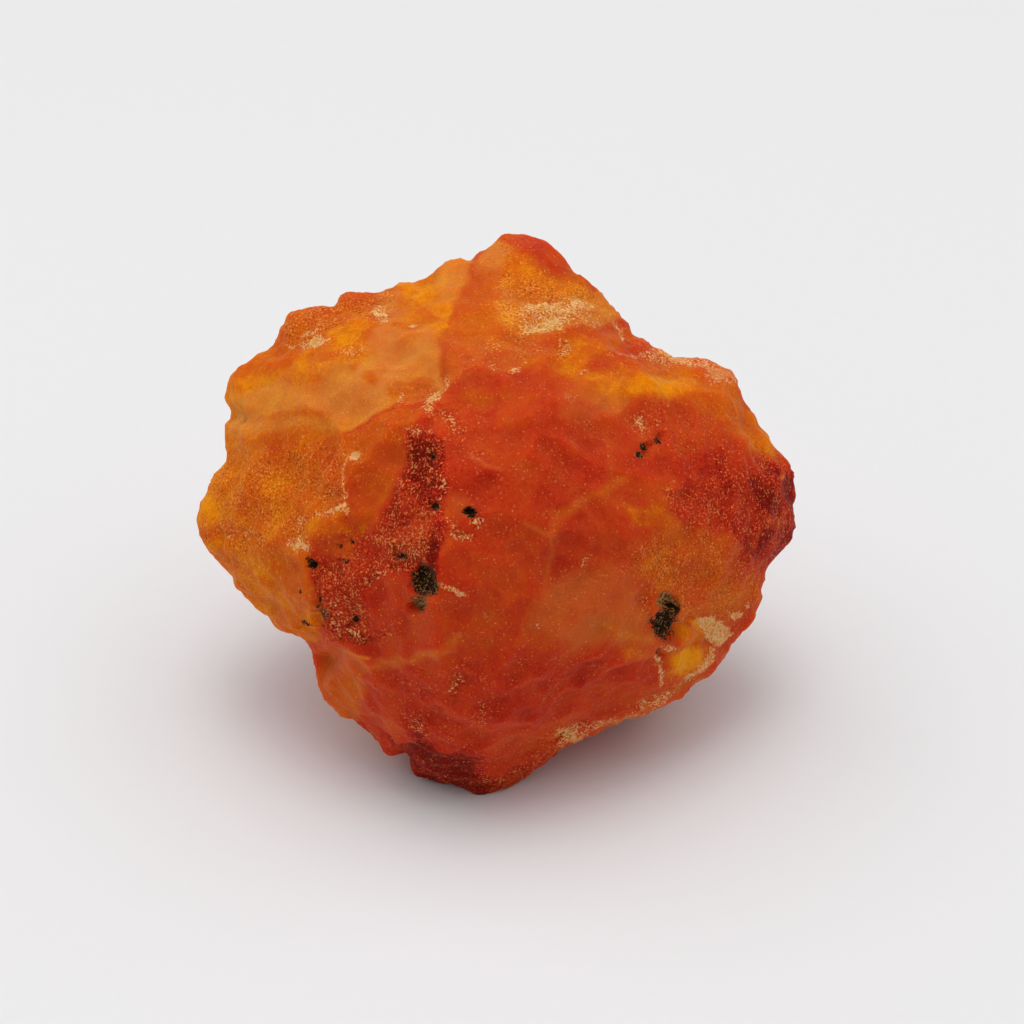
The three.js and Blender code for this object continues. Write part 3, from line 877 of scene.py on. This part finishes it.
@dataclass
class Stone:
    """The carnelian: its fine surface and the marks on it.

    The heart is given from the lowest corner of the solid's box. A reach is the surface as one
    distance from the heart for each direction. Pairs such as the front are where a soft switch
    starts and ends. The evenings are passes of blurring.
    """

    face: FaceFrame
    node: bpy.types.Object
    squares: int = 127
    pull: float = 0.22
    evening: int = 2
    broad_evening: int = 160
    foot_evening: int = 12
    wear: float = 0.05
    seed: int = 5
    scatters: tuple[Scatter, ...] = (
        Scatter(70, (2.5, 5.0), (0.03, 0.05), 0.2, 0.05, 0.30),
        Scatter(150, (1.0, 2.4), (0.05, 0.09), 0.3, 0.05, 0.25),
    )

    HEART = (22.9, 17.3, 18.0)
    FRONT = (-8.0, -6.0)  # how proud a point is: from behind the broad face to on it
    WRONG_SIDE = 50.0  # keeps anchors from the other side of the stone
    BOWL_EDGE = (0.62, 0.5)  # in widths from the anchor
    # hollows
    CREST = 0.25  # the cell value that they reach up to
    CREST_LINE = 0.10  # how near two cells' values are on the line between them
    HOLLOWS = (Hollow(5.2, 0.85, 0.22 * 5.2, 0.07, 0.7), Hollow(2.3, 0.50, 0.22 * 2.3, 0.05, 0.7),
               Hollow(1.2, 0.22, 0.22 * 1.2, 0.03, 0.3))
    HOLLOW_BEHIND = Hollow(8.5, 1.9, 1.8)
    # the rim: its band, how deep breaks may go there and elsewhere, and its lumps
    RIM_BAND = (4.5, 1.5)
    RIM_CUT, OTHER_CUT = 0.12, 1.4
    RIM_LUMP, RIM_LEVEL = 0.55, 0.62
    KNOB, KNOB_CALM = Spot(2.4, 20.4, 4.2, 3.0, {}), 0.85
    # lumps and grain: how deep on smooth ground, and how much more where it is gritty
    LUMP_DEEP, LUMP_DEEP_GRITTY = 0.10, 0.12
    GRAIN_DEEP, GRAIN_DEEP_GRITTY = 0.02, 0.14
    # pits, and the stain round each
    PIT_WOBBLE, STAIN_WOBBLE = 0.18, 0.26
    PIT_SOFT, STAIN_SOFT = 0.45, 0.5
    STAIN_SIZE = 1.25
    # the foot: how near the rest plane it is, and where the work on the surface fades
    FOOT_SKIN = 0.02
    FOOT_FADE = (0.97, 0.45)
    # marks: how far edges are shifted, and what the face has before any shape is laid down
    EDGE_SHIFT = 0.55
    GROUND = {Mark.TONE: 0.58, Mark.BLOOM: 0.04, Mark.GRIT: 0.22}

    def __post_init__(self) -> None:
        """Sets up the heart, the shell of directions, the solid's reach and the noises."""
        self.low, self.high = (np.array(corner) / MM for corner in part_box(self.node.name))
        self.heart = self.low + np.array(self.HEART)
        self.shell = Shell.on_axes(self.face.axes, self.squares, self.pull)
        self.solid = Cage.of_node(self.node, self.heart).reach(self.shell.directions)
        self.normals = self.shell.normals(self.shell.blurred(self.solid, self.broad_evening))
        self.lumps, self.dust, self.swirl = Noise(11), Noise(23), Noise(37)
        self.marks: dict[Mark, Array] = {}
        self.petals = np.zeros(len(self.solid))
        self.seams = np.zeros(len(self.solid))

    def points(self, reach: Array) -> Array:
        """Standing positions of the surface at these distances from the heart."""
        return self.heart + self.shell.directions * reach[:, None]

    def anchor(self, bowl: Bowl, points: Array) -> int:
        """The number of the vertex nearest to where a bowl is centred.

        Args:
            bowl: The bowl.
            points: The surface.

        Returns:
            That vertex's number.
        """
        across, up, proud = self.face.seen(points)
        wrong = (proud > self.FRONT[0]) if bowl.back else (proud < self.FRONT[1])
        away = np.hypot(across - bowl.across, up - bowl.up) + self.WRONG_SIDE * wrong
        return int(np.argmin(away))

    def cut(self, reach: Array, bowl: Bowl, at: int) -> Array:
        """Cuts one bowl.

        A bowl of width w and depth h is part of a sphere of radius (w²/4 + h²) / 2h, whose middle
        stands out along the surface's normal. A ray from the heart meets it at
        d·m - sqrt((d·m)² - m² + radius²). What lies outside that, within half a width of the
        anchor and no thicker than twice the depth, goes. The share gone switches from 0 to 1 over
        the wear, and its middle is the seam.

        Args:
            reach: The surface before.
            bowl: The bowl to cut.
            at: The vertex that it is centred on.

        Returns:
            The surface after.
        """
        points = self.points(reach)
        outward = self.normals[at]
        sideways = unit(np.cross([0.0, 1e-3, 1.0], outward))
        upwards = np.cross(outward, sideways)
        facing = unit(outward + bowl.tilt[0] * sideways + bowl.tilt[1] * upwards)
        radius = (bowl.wide ** 2 / 4 + bowl.deep ** 2) / (2 * bowl.deep)
        middle = points[at] - self.heart + facing * (radius - bowl.deep)
        along = self.shell.directions @ middle
        under = along ** 2 - middle @ middle + radius ** 2
        near = along - np.sqrt(np.maximum(under, 0.0))
        if bowl.ripple:
            source = points[at] + bowl.bulb[0] * sideways + bowl.bulb[1] * upwards
            rings = np.sin(2 * math.pi * np.linalg.norm(points - source, axis=1) / bowl.wave)
            near = near + bowl.ripple * rings
        apart = np.linalg.norm(points - points[at], axis=1)
        gone = np.where(under > 0, reach - near, -self.wear)
        gone = np.clip(gone, -self.wear, 2.0 * bowl.deep)
        outer, inner = (share * bowl.wide for share in self.BOWL_EDGE)
        gone = (gone + self.wear) * smooth_step(outer, inner, apart) - self.wear
        share = np.clip(0.5 + 0.5 * gone / self.wear, 0.0, 1.0)
        self.petals += share * (bowl.petal - self.petals)
        self.seams = np.maximum(self.seams * (1.0 - share), 4.0 * share * (1.0 - share))
        return reach - share * gone - self.wear * share * (1.0 - share)

    def strew(self, reach: Array, scatter: Scatter, draw: np.random.Generator) -> Array:
        """Cuts the breaks of one scatter, one after another.

        Args:
            reach: The surface before.
            scatter: How many there are, and how large.
            draw: Where the chance comes from.

        Returns:
            The surface after.
        """
        proud = self.solid - self.shell.blurred(self.solid, self.broad_evening)
        sharp = proud > scatter.sharpness if scatter.sharpness else np.ones(len(reach), bool)
        for at in draw.choice(np.flatnonzero(sharp), scatter.count):
            wide = draw.uniform(*scatter.wide)
            deep = wide * draw.uniform(*scatter.hollow)
            tilt = tuple(draw.normal(0.0, scatter.lean, 2))
            petal = draw.uniform(-scatter.petal, scatter.petal)
            reach = self.cut(reach, Bowl(0.0, 0.0, wide, deep, tilt, petal=petal), int(at))
        return reach

    def hollowed(self, reach: Array) -> Array:
        """Covers the surface with overlapping hollows that meet in crests.

        Each is deepest at its cell's centre and goes as deep × (crest - value). What lies above
        the crest value is left. They are small on the broad face, and larger elsewhere.

        Args:
            reach: The surface before.

        Returns:
            The surface after.
        """
        points = self.points(reach)
        front = smooth_step(*self.FRONT, self.face.seen(points)[2])
        bend = np.stack([self.lumps.fractal(points + 17.0 * k, 6.0, 2) for k in range(3)], axis=-1)
        for hollow in self.HOLLOWS:
            value, gap, lot = self.dust.cells(points + hollow.bend * bend, hollow.size)
            self.petals += (lot - 0.5) * 2.0 * hollow.shift
            line = hollow.line * smooth_step(self.CREST_LINE, 0.0, gap)
            self.seams = np.maximum(self.seams, line)
            reach = reach - hollow.deep * front * np.maximum(self.CREST - value, 0.0)
        behind = self.HOLLOW_BEHIND
        value, _, _ = self.dust.cells(points + behind.bend * bend, behind.size)
        return reach - behind.deep * (1.0 - front) * np.maximum(self.CREST - value, 0.0)

    def broken(self, reach: Array) -> Array:
        """Cuts the bowls, the hollows and the strewn breaks, in that order.

        Args:
            reach: The surface before.

        Returns:
            The surface after.
        """
        draw = np.random.default_rng(self.seed)
        for bowl in BOWLS:
            reach = self.cut(reach, bowl, self.anchor(bowl, self.points(reach)))
        reach = self.hollowed(reach)
        for scatter in self.scatters:
            reach = self.strew(reach, scatter, draw)
        return reach

    def roughened(self, reach: Array, even: Array) -> Array:
        """Adds what is finer than the breaks: the sunk places, the lumps, the grain and the pits.

        First the breaks are held to a greatest depth below the even surface, which is less at the
        rim. There the lumps go both ways, to keep its size, and are weaker on the knob.

        Args:
            reach: The surface before.
            even: The surface as it was before it was broken.

        Returns:
            The surface after.
        """
        points = self.points(reach)
        across, up, proud = self.face.seen(points)
        front = smooth_step(*self.FRONT, proud)
        grit = self.marks[Mark.GRIT]
        rim = smooth_step(*self.RIM_BAND, np.abs(proud - self.face.rim_depth))
        reach = np.maximum(reach, even - self.RIM_CUT - self.OTHER_CUT * (1.0 - rim))
        lumps = np.clip(0.5 + 0.8 * self.lumps.fractal(points, 2.6, 4, 0.6), 0.0, 1.0)
        ragged = rim * (1.0 - self.KNOB_CALM * self.KNOB.mask(across, up))
        reach = reach + ragged * self.RIM_LUMP * (self.RIM_LEVEL - lumps)
        grain = np.clip(0.5 + 0.5 * self.dust.fractal(points, 1.1, 3, 0.8), 0.0, 1.0)
        lump_deep = self.LUMP_DEEP + self.LUMP_DEEP_GRITTY * grit
        reach = reach - self.marks[Mark.SINK] - lump_deep * (1.0 - rim) * lumps
        reach = reach - (self.GRAIN_DEEP + self.GRAIN_DEEP_GRITTY * grit) * grain
        crooked = self.PIT_WOBBLE * self.dust.fractal(points, 0.9, 2)
        for pit in PITS:
            hole = pit.oval(1.0, self.PIT_SOFT)
            reach = reach - pit.deep * front * hole.mask(across + crooked, up - crooked)
        return reach

    def settled(self, reach: Array, even: Array) -> Array:
        """Gives the foot back its even surface, and holds the rest inside the solid's box.

        On the foot every change fades out from its outline inwards. The box's lowest side is the
        rest plane, so the stone stands flat.

        Args:
            reach: The surface before.
            even: The surface as it was before it was broken.

        Returns:
            The surface after.
        """
        on_foot = (self.points(self.solid)[:, 2] < self.FOOT_SKIN).astype(float)
        free = smooth_step(*self.FOOT_FADE, self.shell.blurred(on_foot, self.foot_evening))
        reach = even + free * (reach - even)
        walls = np.abs(np.where(self.shell.directions > 0, self.high, self.low) - self.heart)
        slopes = np.maximum(np.abs(self.shell.directions), 1e-6)
        return np.minimum(reach, (walls / slopes).min(axis=1))

    def shaped(self) -> Array:
        """The whole surface: the solid's, evened a little and then worked."""
        even = self.shell.blurred(self.solid, self.evening)
        return self.settled(self.roughened(self.broken(even), even), even)

    def marks_on_face(self, points: Array) -> dict[Mark, Array]:
        """The marks that the broad face's tables lay down, each shape over the last.

        Every edge is shifted by noise.

        Args:
            points: The surface.

        Returns:
            One number for each point, by mark.
        """
        across, up, _ = self.face.seen(points)
        shift_across = self.EDGE_SHIFT * self.lumps.fractal(points + 9.0, 2.6, 3)
        shift_up = self.EDGE_SHIFT * self.lumps.fractal(points - 9.0, 2.6, 3)
        crooked = self.STAIN_WOBBLE * self.dust.fractal(points, 0.8, 3)
        marks = {mark: np.full(len(points), self.GROUND.get(mark, 0.0)) for mark in Mark}
        for shape in (*AREAS, *TONE_SPOTS, *VEINS, *CRUST, *NICKS):
            mask = shape.mask(across + shape.ragged * shift_across, up + shape.ragged * shift_up)
            for mark, value in shape.laid.items():
                marks[mark] = marks[mark] + mask * (value - marks[mark])
        for pit in PITS:
            stain = pit.oval(self.STAIN_SIZE, self.STAIN_SOFT)
            mask = stain.mask(across + crooked, up - crooked)
            marks[Mark.SOOT] = np.maximum(marks[Mark.SOOT], mask)
            marks[Mark.RIND] += mask * (pit.dust - marks[Mark.RIND])
        return marks

    def mark(self) -> None:
        """Works out every mark from the solid's own surface.

        The broad face follows its tables. The rest of the stone follows noise alone, slow and
        quick, in the same range of tones.
        """
        points = self.points(self.solid)
        front = smooth_step(*self.FRONT, self.face.seen(points)[2])
        slow = self.swirl.fractal(points, 9.0, 3)
        quick = self.swirl.fractal(points + 71.0, 2.4, 3)
        on_face = self.marks_on_face(points)
        behind = {Mark.TONE: 0.55 + 0.30 * slow + 0.08 * quick,
                  Mark.BLOOM: 0.35 * smooth_step(0.0, 0.7, -slow),
                  Mark.GRIT: smooth_step(-0.5, 0.7, quick + 0.6 * slow),
                  Mark.RIND: 0.85 * smooth_step(0.35, 0.85, self.lumps.fractal(points, 7.0, 4)),
                  Mark.SOOT: smooth_step(0.75, 0.95, self.dust.fractal(points, 4.0, 3))}
        for mark in Mark:
            other = behind.get(mark, 0.0)
            self.marks[mark] = np.clip(other + front * (on_face[mark] - other), 0, 1)
        self.marks[Mark.TONE] += 0.05 * quick + 0.04 * slow

    def build(self) -> bpy.types.Object:
        """Makes the stone's mesh, with its marks as attributes.

        Returns:
            The stone's object, not yet dressed.
        """
        self.mark()
        points = self.points(self.shaped()) * MM
        self.marks[Mark.TONE] = np.clip(self.marks[Mark.TONE] + self.petals, 0.0, 1.0)
        self.marks[Mark.SEAM] = self.seams
        mesh = bpy.data.meshes.new("stone")
        mesh.vertices.add(len(points))
        mesh.vertices.foreach_set("co", points.astype(np.float32).ravel())
        quads = self.shell.quads.astype(np.int32)
        mesh.loops.add(quads.size)
        mesh.loops.foreach_set("vertex_index", quads.ravel())
        mesh.polygons.add(len(quads))
        mesh.polygons.foreach_set("loop_start", np.arange(0, quads.size, 4, dtype=np.int32))
        mesh.polygons.foreach_set("use_smooth", np.ones(len(quads), bool))
        mesh.update(calc_edges=True)
        for mark in Mark:
            layer = mesh.attributes.new(mark.value, "FLOAT", "POINT")
            layer.data.foreach_set("value", self.marks[mark].astype(np.float32))
        stone = bpy.data.objects.new("stone", mesh)
        bpy.context.scene.collection.objects.link(stone)
        return stone


class Wire:
    """One output of a material's node. Arithmetic on it adds Math nodes."""

    def __init__(self, graph: "Graph", socket: bpy.types.NodeSocket) -> None:
        """Wraps a socket.

        Args:
            graph: The material's graph.
            socket: The output that this wire comes from.
        """
        self.graph = graph
        self.socket = socket

    def math(self, operation: str, *others: "Wire | float") -> "Wire":
        """A Math node on this wire and up to two other operands."""
        inputs = dict(enumerate((self, *others)))
        return self.graph.node("ShaderNodeMath", {"operation": operation}, inputs)

    def __add__(self, other: "Wire | float") -> "Wire":
        """This plus other."""
        return self.math("ADD", other)

    __radd__ = __add__

    def __mul__(self, other: "Wire | float") -> "Wire":
        """This times other."""
        return self.math("MULTIPLY", other)

    __rmul__ = __mul__

    def __sub__(self, other: "Wire | float") -> "Wire":
        """This less other."""
        return self.math("SUBTRACT", other)

    def __rsub__(self, other: float) -> "Wire":
        """Other less this."""
        return (self * -1.0) + other

    def other(self, output: str) -> "Wire":
        """Another output of the node that this wire comes from."""
        return Wire(self.graph, self.socket.node.outputs[output])

    def above(self, low: float, high: float) -> "Wire":
        """A soft switch: 0 below low, 1 above high. With low above high it is turned round.

        Args:
            low: Where it starts to open.
            high: Where it is fully open.

        Returns:
            The switch's wire, 0 to 1.
        """
        settings = {"interpolation_type": "SMOOTHSTEP"}
        inputs = {"Value": self, "From Min": low, "From Max": high}
        return self.graph.node("ShaderNodeMapRange", settings, inputs)

    def clamped(self) -> "Wire":
        """This, held between 0 and 1."""
        return self.graph.node("ShaderNodeClamp", {}, {"Value": self})


class Graph:
    """A material's node graph, with a few short ways to add to it."""

    def __init__(self, name: str) -> None:
        """Makes an empty material.

        Args:
            name: The material's name.
        """
        self.material = bpy.data.materials.new(name)
        self.material.use_nodes = True
        self.tree = self.material.node_tree
        self.tree.nodes.clear()

    def node(self, kind: str, settings: dict, inputs: dict, output: int | str = 0) -> Wire:
        """Adds any node.

        Args:
            kind: The node's type.
            settings: Its own settings, set before its inputs.
            inputs: Values or wires, by the name or number of the input.
            output: The name or number of the output wanted.

        Returns:
            The wire from that output.
        """
        made = self.tree.nodes.new(kind)
        for name, value in settings.items():
            setattr(made, name, value)
        for name, value in inputs.items():
            if isinstance(value, Wire):
                self.tree.links.new(value.socket, made.inputs[name])
            else:
                made.inputs[name].default_value = value
        return Wire(self, made.outputs[output])

    def mark(self, mark: Mark) -> Wire:
        """The value of one of the surface's marks."""
        return self.node("ShaderNodeAttribute", {"attribute_name": mark.value}, {}, "Fac")

    def noise(self, place: Wire, waves: float, detail: float, **more: float) -> Wire:
        """Noise at a place: so many waves in each of its units, with detail finer layers."""
        inputs = {"Vector": place, "Scale": waves, "Detail": detail, **more}
        return self.node("ShaderNodeTexNoise", {}, inputs)

    def ramp(self, factor: Wire, stops: tuple[tuple[float, Colour], ...]) -> Wire:
        """A colour read from stops along a line.

        Args:
            factor: Where along the line, 0 to 1.
            stops: Places and their linear colours.

        Returns:
            The colour's wire.
        """
        made = self.tree.nodes.new("ShaderNodeValToRGB")
        ladder = made.color_ramp.elements
        while len(ladder) < len(stops):
            ladder.new(1.0)
        for step, (place, colour) in zip(ladder, stops):
            step.position = place
            step.color = (*colour, 1.0)
        self.tree.links.new(factor.socket, made.inputs["Fac"])
        return Wire(self, made.outputs["Color"])

    def mix(self, factor: Wire | float, a: Wire | Colour, b: Wire | Colour) -> Wire:
        """Colour a with b laid over it by factor."""
        a, b = (c if isinstance(c, Wire) else (*c, 1.0) for c in (a, b))
        return self.node("ShaderNodeMix", {"data_type": "RGBA"}, {0: factor, 6: a, 7: b}, 2)

    def finish(self, surface: Wire) -> bpy.types.Material:
        """Joins a shader to the output.

        Args:
            surface: The shader's wire.

        Returns:
            The finished material.
        """
        made = self.tree.nodes.new("ShaderNodeOutputMaterial")
        self.tree.links.new(surface.socket, made.inputs["Surface"])
        return self.material


@dataclass(frozen=True)
class CarnelianFinish:
    """Waxy, translucent orange-red stone, with frosted breaks, grain with painted glints and shade,
    crust and dirt.
    """

    body: tuple[tuple[float, Colour], ...] = (
        (0.00, (0.82, 0.300, 0.002)), (0.12, (0.75, 0.220, 0.003)), (0.26, (0.645, 0.134, 0.005)),
        (0.42, (0.580, 0.088, 0.007)), (0.56, (0.555, 0.060, 0.009)), (0.72, (0.520, 0.036, 0.009)),
        (0.86, (0.42, 0.019, 0.007)), (1.00, (0.16, 0.006, 0.003)))
    frosted: Colour = (0.68, 0.250, 0.052)
    # pale grains, and also the painted glints where light catches the grain
    speck_and_glint: Colour = (0.84, 0.400, 0.120)
    # shade: dark grains, and also the painted shade in the gaps between grains
    shade: Colour = (0.11, 0.012, 0.003)
    sand: Colour = (0.68, 0.31, 0.075)
    crust: Colour = (0.80, 0.50, 0.23)
    dirt: Colour = (0.016, 0.008, 0.004)
    scorch: Colour = (0.13, 0.030, 0.008)
    olive: Colour = (0.32, 0.150, 0.050)
    sheen_tint: Colour = (1.0, 0.55, 0.25)
    grain_turn: tuple[float, float, float] = (0.3, 0.5, 0.0)
    grain_stretch: tuple[float, float, float] = (1.2, 0.9, 0.38)
    drift_mm: float = 1.1
    ior: float = 1.54
    sheen: float = 0.04
    relief_share: float = 0.8
    relief_mm: float = 0.11
    scatter_share: float = 0.8
    scatter_mm: float = 3.2
    scatter_tint: Colour = (1.0, 0.20, 0.05)

    def material(self) -> bpy.types.Material:
        """Builds the material.

        The body colour runs along the tone. Slow clouds shift it, and bloom frosts it in wisps.
        Grains come through light or dark where there is grit, coarser ones on the roughest ground,
        and crust breaks up into sand and cream. The light grains are partly pale grain and partly
        painted glints, and the dark ones partly dark grain and partly painted shade in the gaps
        between grains. Dirt lies over all of it.

        Returns:
            The material.
        """
        g = Graph("carnelian_finish")
        place = g.node("ShaderNodeTexCoord", {}, {}, "Object")
        place = g.node("ShaderNodeMapping", {}, {"Vector": place, "Scale": (1 / MM,) * 3})
        drift = g.noise(place, 0.9, 1.0).other("Color")
        bent = g.node("ShaderNodeVectorMath", {"operation": "MULTIPLY_ADD"},
                      {0: drift, 1: (self.drift_mm,) * 3, 2: place})
        along = g.node("ShaderNodeMapping", {}, {"Vector": bent, "Rotation": self.grain_turn,
                                                 "Scale": self.grain_stretch})
        clouds = g.noise(bent, 0.30, 3.0, Roughness=0.6)
        wisps = g.noise(along, 0.9, 4.0, Roughness=0.62)
        veils = g.noise(along, 2.4, 3.0, Roughness=0.65)
        clump = g.noise(bent, 0.55, 2.0, Roughness=0.6)
        fine = g.noise(place, 2.3, 2.0, Roughness=0.7)
        dots = g.noise(place, 6.0, 1.0, Roughness=0.7)
        tone_mark, bloom, grit = g.mark(Mark.TONE), g.mark(Mark.BLOOM), g.mark(Mark.GRIT)
        rind, soot, seam = g.mark(Mark.RIND), g.mark(Mark.SOOT), g.mark(Mark.SEAM)

        fine_swing, dots_swing = fine - 0.5, dots - 0.5
        mottle = dots_swing * (0.26 + grit * 0.46) + fine_swing * 0.14
        veil = (veils - 0.5) * (1.1 - tone_mark)
        calm = 1.15 - tone_mark * 0.6
        shifts = ((clouds - 0.5) * 0.23 + (wisps - 0.5) * 0.16) * calm + veil * 0.34
        tone_here = (tone_mark + shifts - mottle).clamped()
        body = g.ramp(tone_here, self.body)
        thread = seam * wisps.above(0.52, 0.70) * 0.08
        cloudy = (clump - 0.60) * (0.42 - tone_mark * 0.3)
        frost = (bloom * (0.20 + wisps * 0.9 + veils * 0.7) + cloudy + thread).clamped()
        colour = g.mix(frost * 0.85, body, self.frosted)
        crowd = (grit * 0.8 + (clump - 0.5) * 1.6).clamped()
        coarse = grit.above(0.76, 1.0) * tone_mark.above(0.30, 0.65) * (0.15 + clump * 0.8)
        # light: pale grains, partly painted glints where light catches the grain
        light = (dots + crowd * 0.12).above(0.69, 0.77) + coarse * fine.above(0.60, 0.68)
        # dark: dark grains, partly painted shade in the gaps between grains
        dark = crowd * (dots - crowd * 0.10).above(0.34, 0.27) + coarse * fine.above(0.42, 0.34)
        colour = g.mix(dark.clamped() * 0.55, colour, self.shade)
        colour = g.mix(light.clamped() * (0.15 + fine * 0.65), colour, self.speck_and_glint)
        sandy = (rind * 0.95 + fine_swing * 0.9 + dots_swing * 1.3).above(0.36, 0.86)
        cream = g.mix((dots * 0.7 + fine * 0.5).above(0.54, 0.74), self.sand, self.crust)
        colour = g.mix(sandy * 0.85, colour, cream)
        ring = (soot + fine_swing * 1.2 + dots_swing * 2.4).above(0.40, 0.62) * soot.above(0.0, 0.3)
        colour = g.mix(ring * 0.75, colour, self.scorch)
        dirty = (soot + fine_swing * 1.2 + dots_swing * 1.4).above(0.48, 0.62)
        filth = g.mix((rind * 0.35 + fine * 0.5 + dots).above(0.84, 1.0), self.dirt, self.olive)
        colour = g.mix(dirty, colour, filth)

        rough = (0.42 + grit * 0.2 + sandy * 0.3 + dirty * 0.2).clamped()
        relief = dots * (0.25 + grit * 0.7) + fine * (0.3 + grit * 0.6) + seam * wisps * 0.4
        bump = g.node("ShaderNodeBump", {}, {
            "Strength": self.relief_share, "Distance": self.relief_mm * MM, "Height": relief})
        shader = g.node("ShaderNodeBsdfPrincipled", {"subsurface_method": "RANDOM_WALK"}, {
            "Base Color": colour, "Roughness": rough, "Normal": bump, "IOR": self.ior,
            "Specular IOR Level": self.sheen, "Specular Tint": (*self.sheen_tint, 1.0),
            "Subsurface Weight": self.scatter_share, "Subsurface Radius": self.scatter_tint,
            "Subsurface Scale": self.scatter_mm * MM})
        return g.finish(shader)


@dataclass(frozen=True)
class PaperFinish:
    """Smooth white paper, faintly uneven."""

    white: Colour = (0.83, 0.83, 0.84)
    dimmer: float = 0.985

    def material(self) -> bpy.types.Material:
        """Builds the material: one pale tone with a little noise in it.

        Returns:
            The material.
        """
        g = Graph("paper_finish")
        place = g.node("ShaderNodeTexCoord", {}, {}, "Object")
        shade = tuple(self.dimmer * c for c in self.white)
        colour = g.mix(g.noise(place, 900.0, 3.0), self.white, shade)
        shader = g.node("ShaderNodeBsdfPrincipled", {}, {
            "Base Color": colour, "Roughness": 0.85, "Specular IOR Level": 0.1})
        return g.finish(shader)


@dataclass(frozen=True)
class Sheet:
    """The pale sheet under the stone."""

    side: float = 3.0

    def build(self) -> bpy.types.Object:
        """Makes one square, flat at the height of the rest plane.

        Returns:
            The sheet's object, dressed.
        """
        half = self.side / 2
        corners = [(-half, -half, 0.0), (half, -half, 0.0), (half, half, 0.0), (-half, half, 0.0)]
        mesh = bpy.data.meshes.new("sheet")
        mesh.from_pydata(corners, [], [(0, 1, 2, 3)])
        sheet = bpy.data.objects.new("sheet", mesh)
        bpy.context.scene.collection.objects.link(sheet)
        mesh.materials.append(PaperFinish().material())
        return sheet


@dataclass(frozen=True)
class Lamp:
    """A square soft light that looks at the stone.

    It is turned from the front towards the right and raised from level, in degrees. Its distance
    and side are in metres.
    """

    name: str
    turn: float
    height: float
    distance: float
    side: float
    watts: float

    def build(self, target: Array) -> None:
        """Makes the light and turns it to its target.

        Args:
            target: The place that it looks at, in metres.
        """
        turn, height = math.radians(self.turn), math.radians(self.height)
        toward = np.array([math.sin(turn) * math.cos(height), -math.cos(turn) * math.cos(height),
                           math.sin(height)])
        data = bpy.data.lights.new(self.name, "AREA")
        data.shape = "SQUARE"
        data.size = self.side
        data.energy = self.watts
        lamp = bpy.data.objects.new(self.name, data)
        lamp.location = target + toward * self.distance
        lamp.rotation_euler = Vector(-toward).to_track_quat("-Z", "Y").to_euler()
        bpy.context.scene.collection.objects.link(lamp)


@dataclass(frozen=True)
class Studio:
    """The camera, the lights and the air round the stone.

    The lens and the sensor are in millimetres, and the clip is in metres. The aim is across and up
    on the face.
    """

    face: FaceFrame
    lens: float = 100.0
    sensor: float = 36.0
    clip: Point = (0.01, 10.0)
    aim: Point = (0.9, 0.0)
    air: Colour = (1.0, 1.0, 1.0)
    air_strength: float = 0.33
    lamps: tuple[Lamp, ...] = (
        Lamp("left", -100.0, 64.0, 0.8, 0.9, 2.9),
        Lamp("right", 90.0, 66.0, 0.8, 0.9, 2.5),
        Lamp("overhead", -10.0, 84.0, 0.8, 0.35, 1.2),
    )

    def build(self) -> None:
        """Makes the camera, straight before the face at its distance, the lamps and the air."""
        data = bpy.data.cameras.new("camera")
        data.lens, data.sensor_width = self.lens, self.sensor
        data.clip_start, data.clip_end = self.clip
        camera = bpy.data.objects.new("camera", data)
        target = self.face.place(*self.aim, self.face.rim_depth)
        outward = self.face.axes[2]
        camera.location = (target + outward * self.face.view_distance) * MM
        camera.rotation_euler = Vector(-outward).to_track_quat("-Z", "Y").to_euler()
        scene = bpy.context.scene
        scene.collection.objects.link(camera)
        scene.camera = camera
        for lamp in self.lamps:
            lamp.build(self.face.place(0.0, 0.0, 0.0) * MM)
        world = bpy.data.worlds.new("air")
        world.use_nodes = True
        background = world.node_tree.nodes["Background"]
        background.inputs["Color"].default_value = (*self.air, 1.0)
        background.inputs["Strength"].default_value = self.air_strength
        scene.world = world
        scene.view_settings.view_transform = "Standard"


def main() -> None:
    """Builds the studio and the stone."""
    logging.basicConfig(level=logging.INFO, format="%(name)s: %(message)s")
    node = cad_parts["carnelian"]
    low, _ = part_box("carnelian")
    face = FaceFrame.in_box(low)
    Studio(face).build()
    log.info("studio: camera %.0f mm before the face", face.view_distance)
    sheet = Sheet().build()
    log.info("sheet: staged")
    stone = Stone(face, node).build()
    stone.data.materials.append(CarnelianFinish().material())
    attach(stone, "root")
    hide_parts("carnelian")
    log.info("stone: %d vertices, %d faces", len(stone.data.vertices), len(stone.data.polygons))


if __name__ == "__main__":
    main()
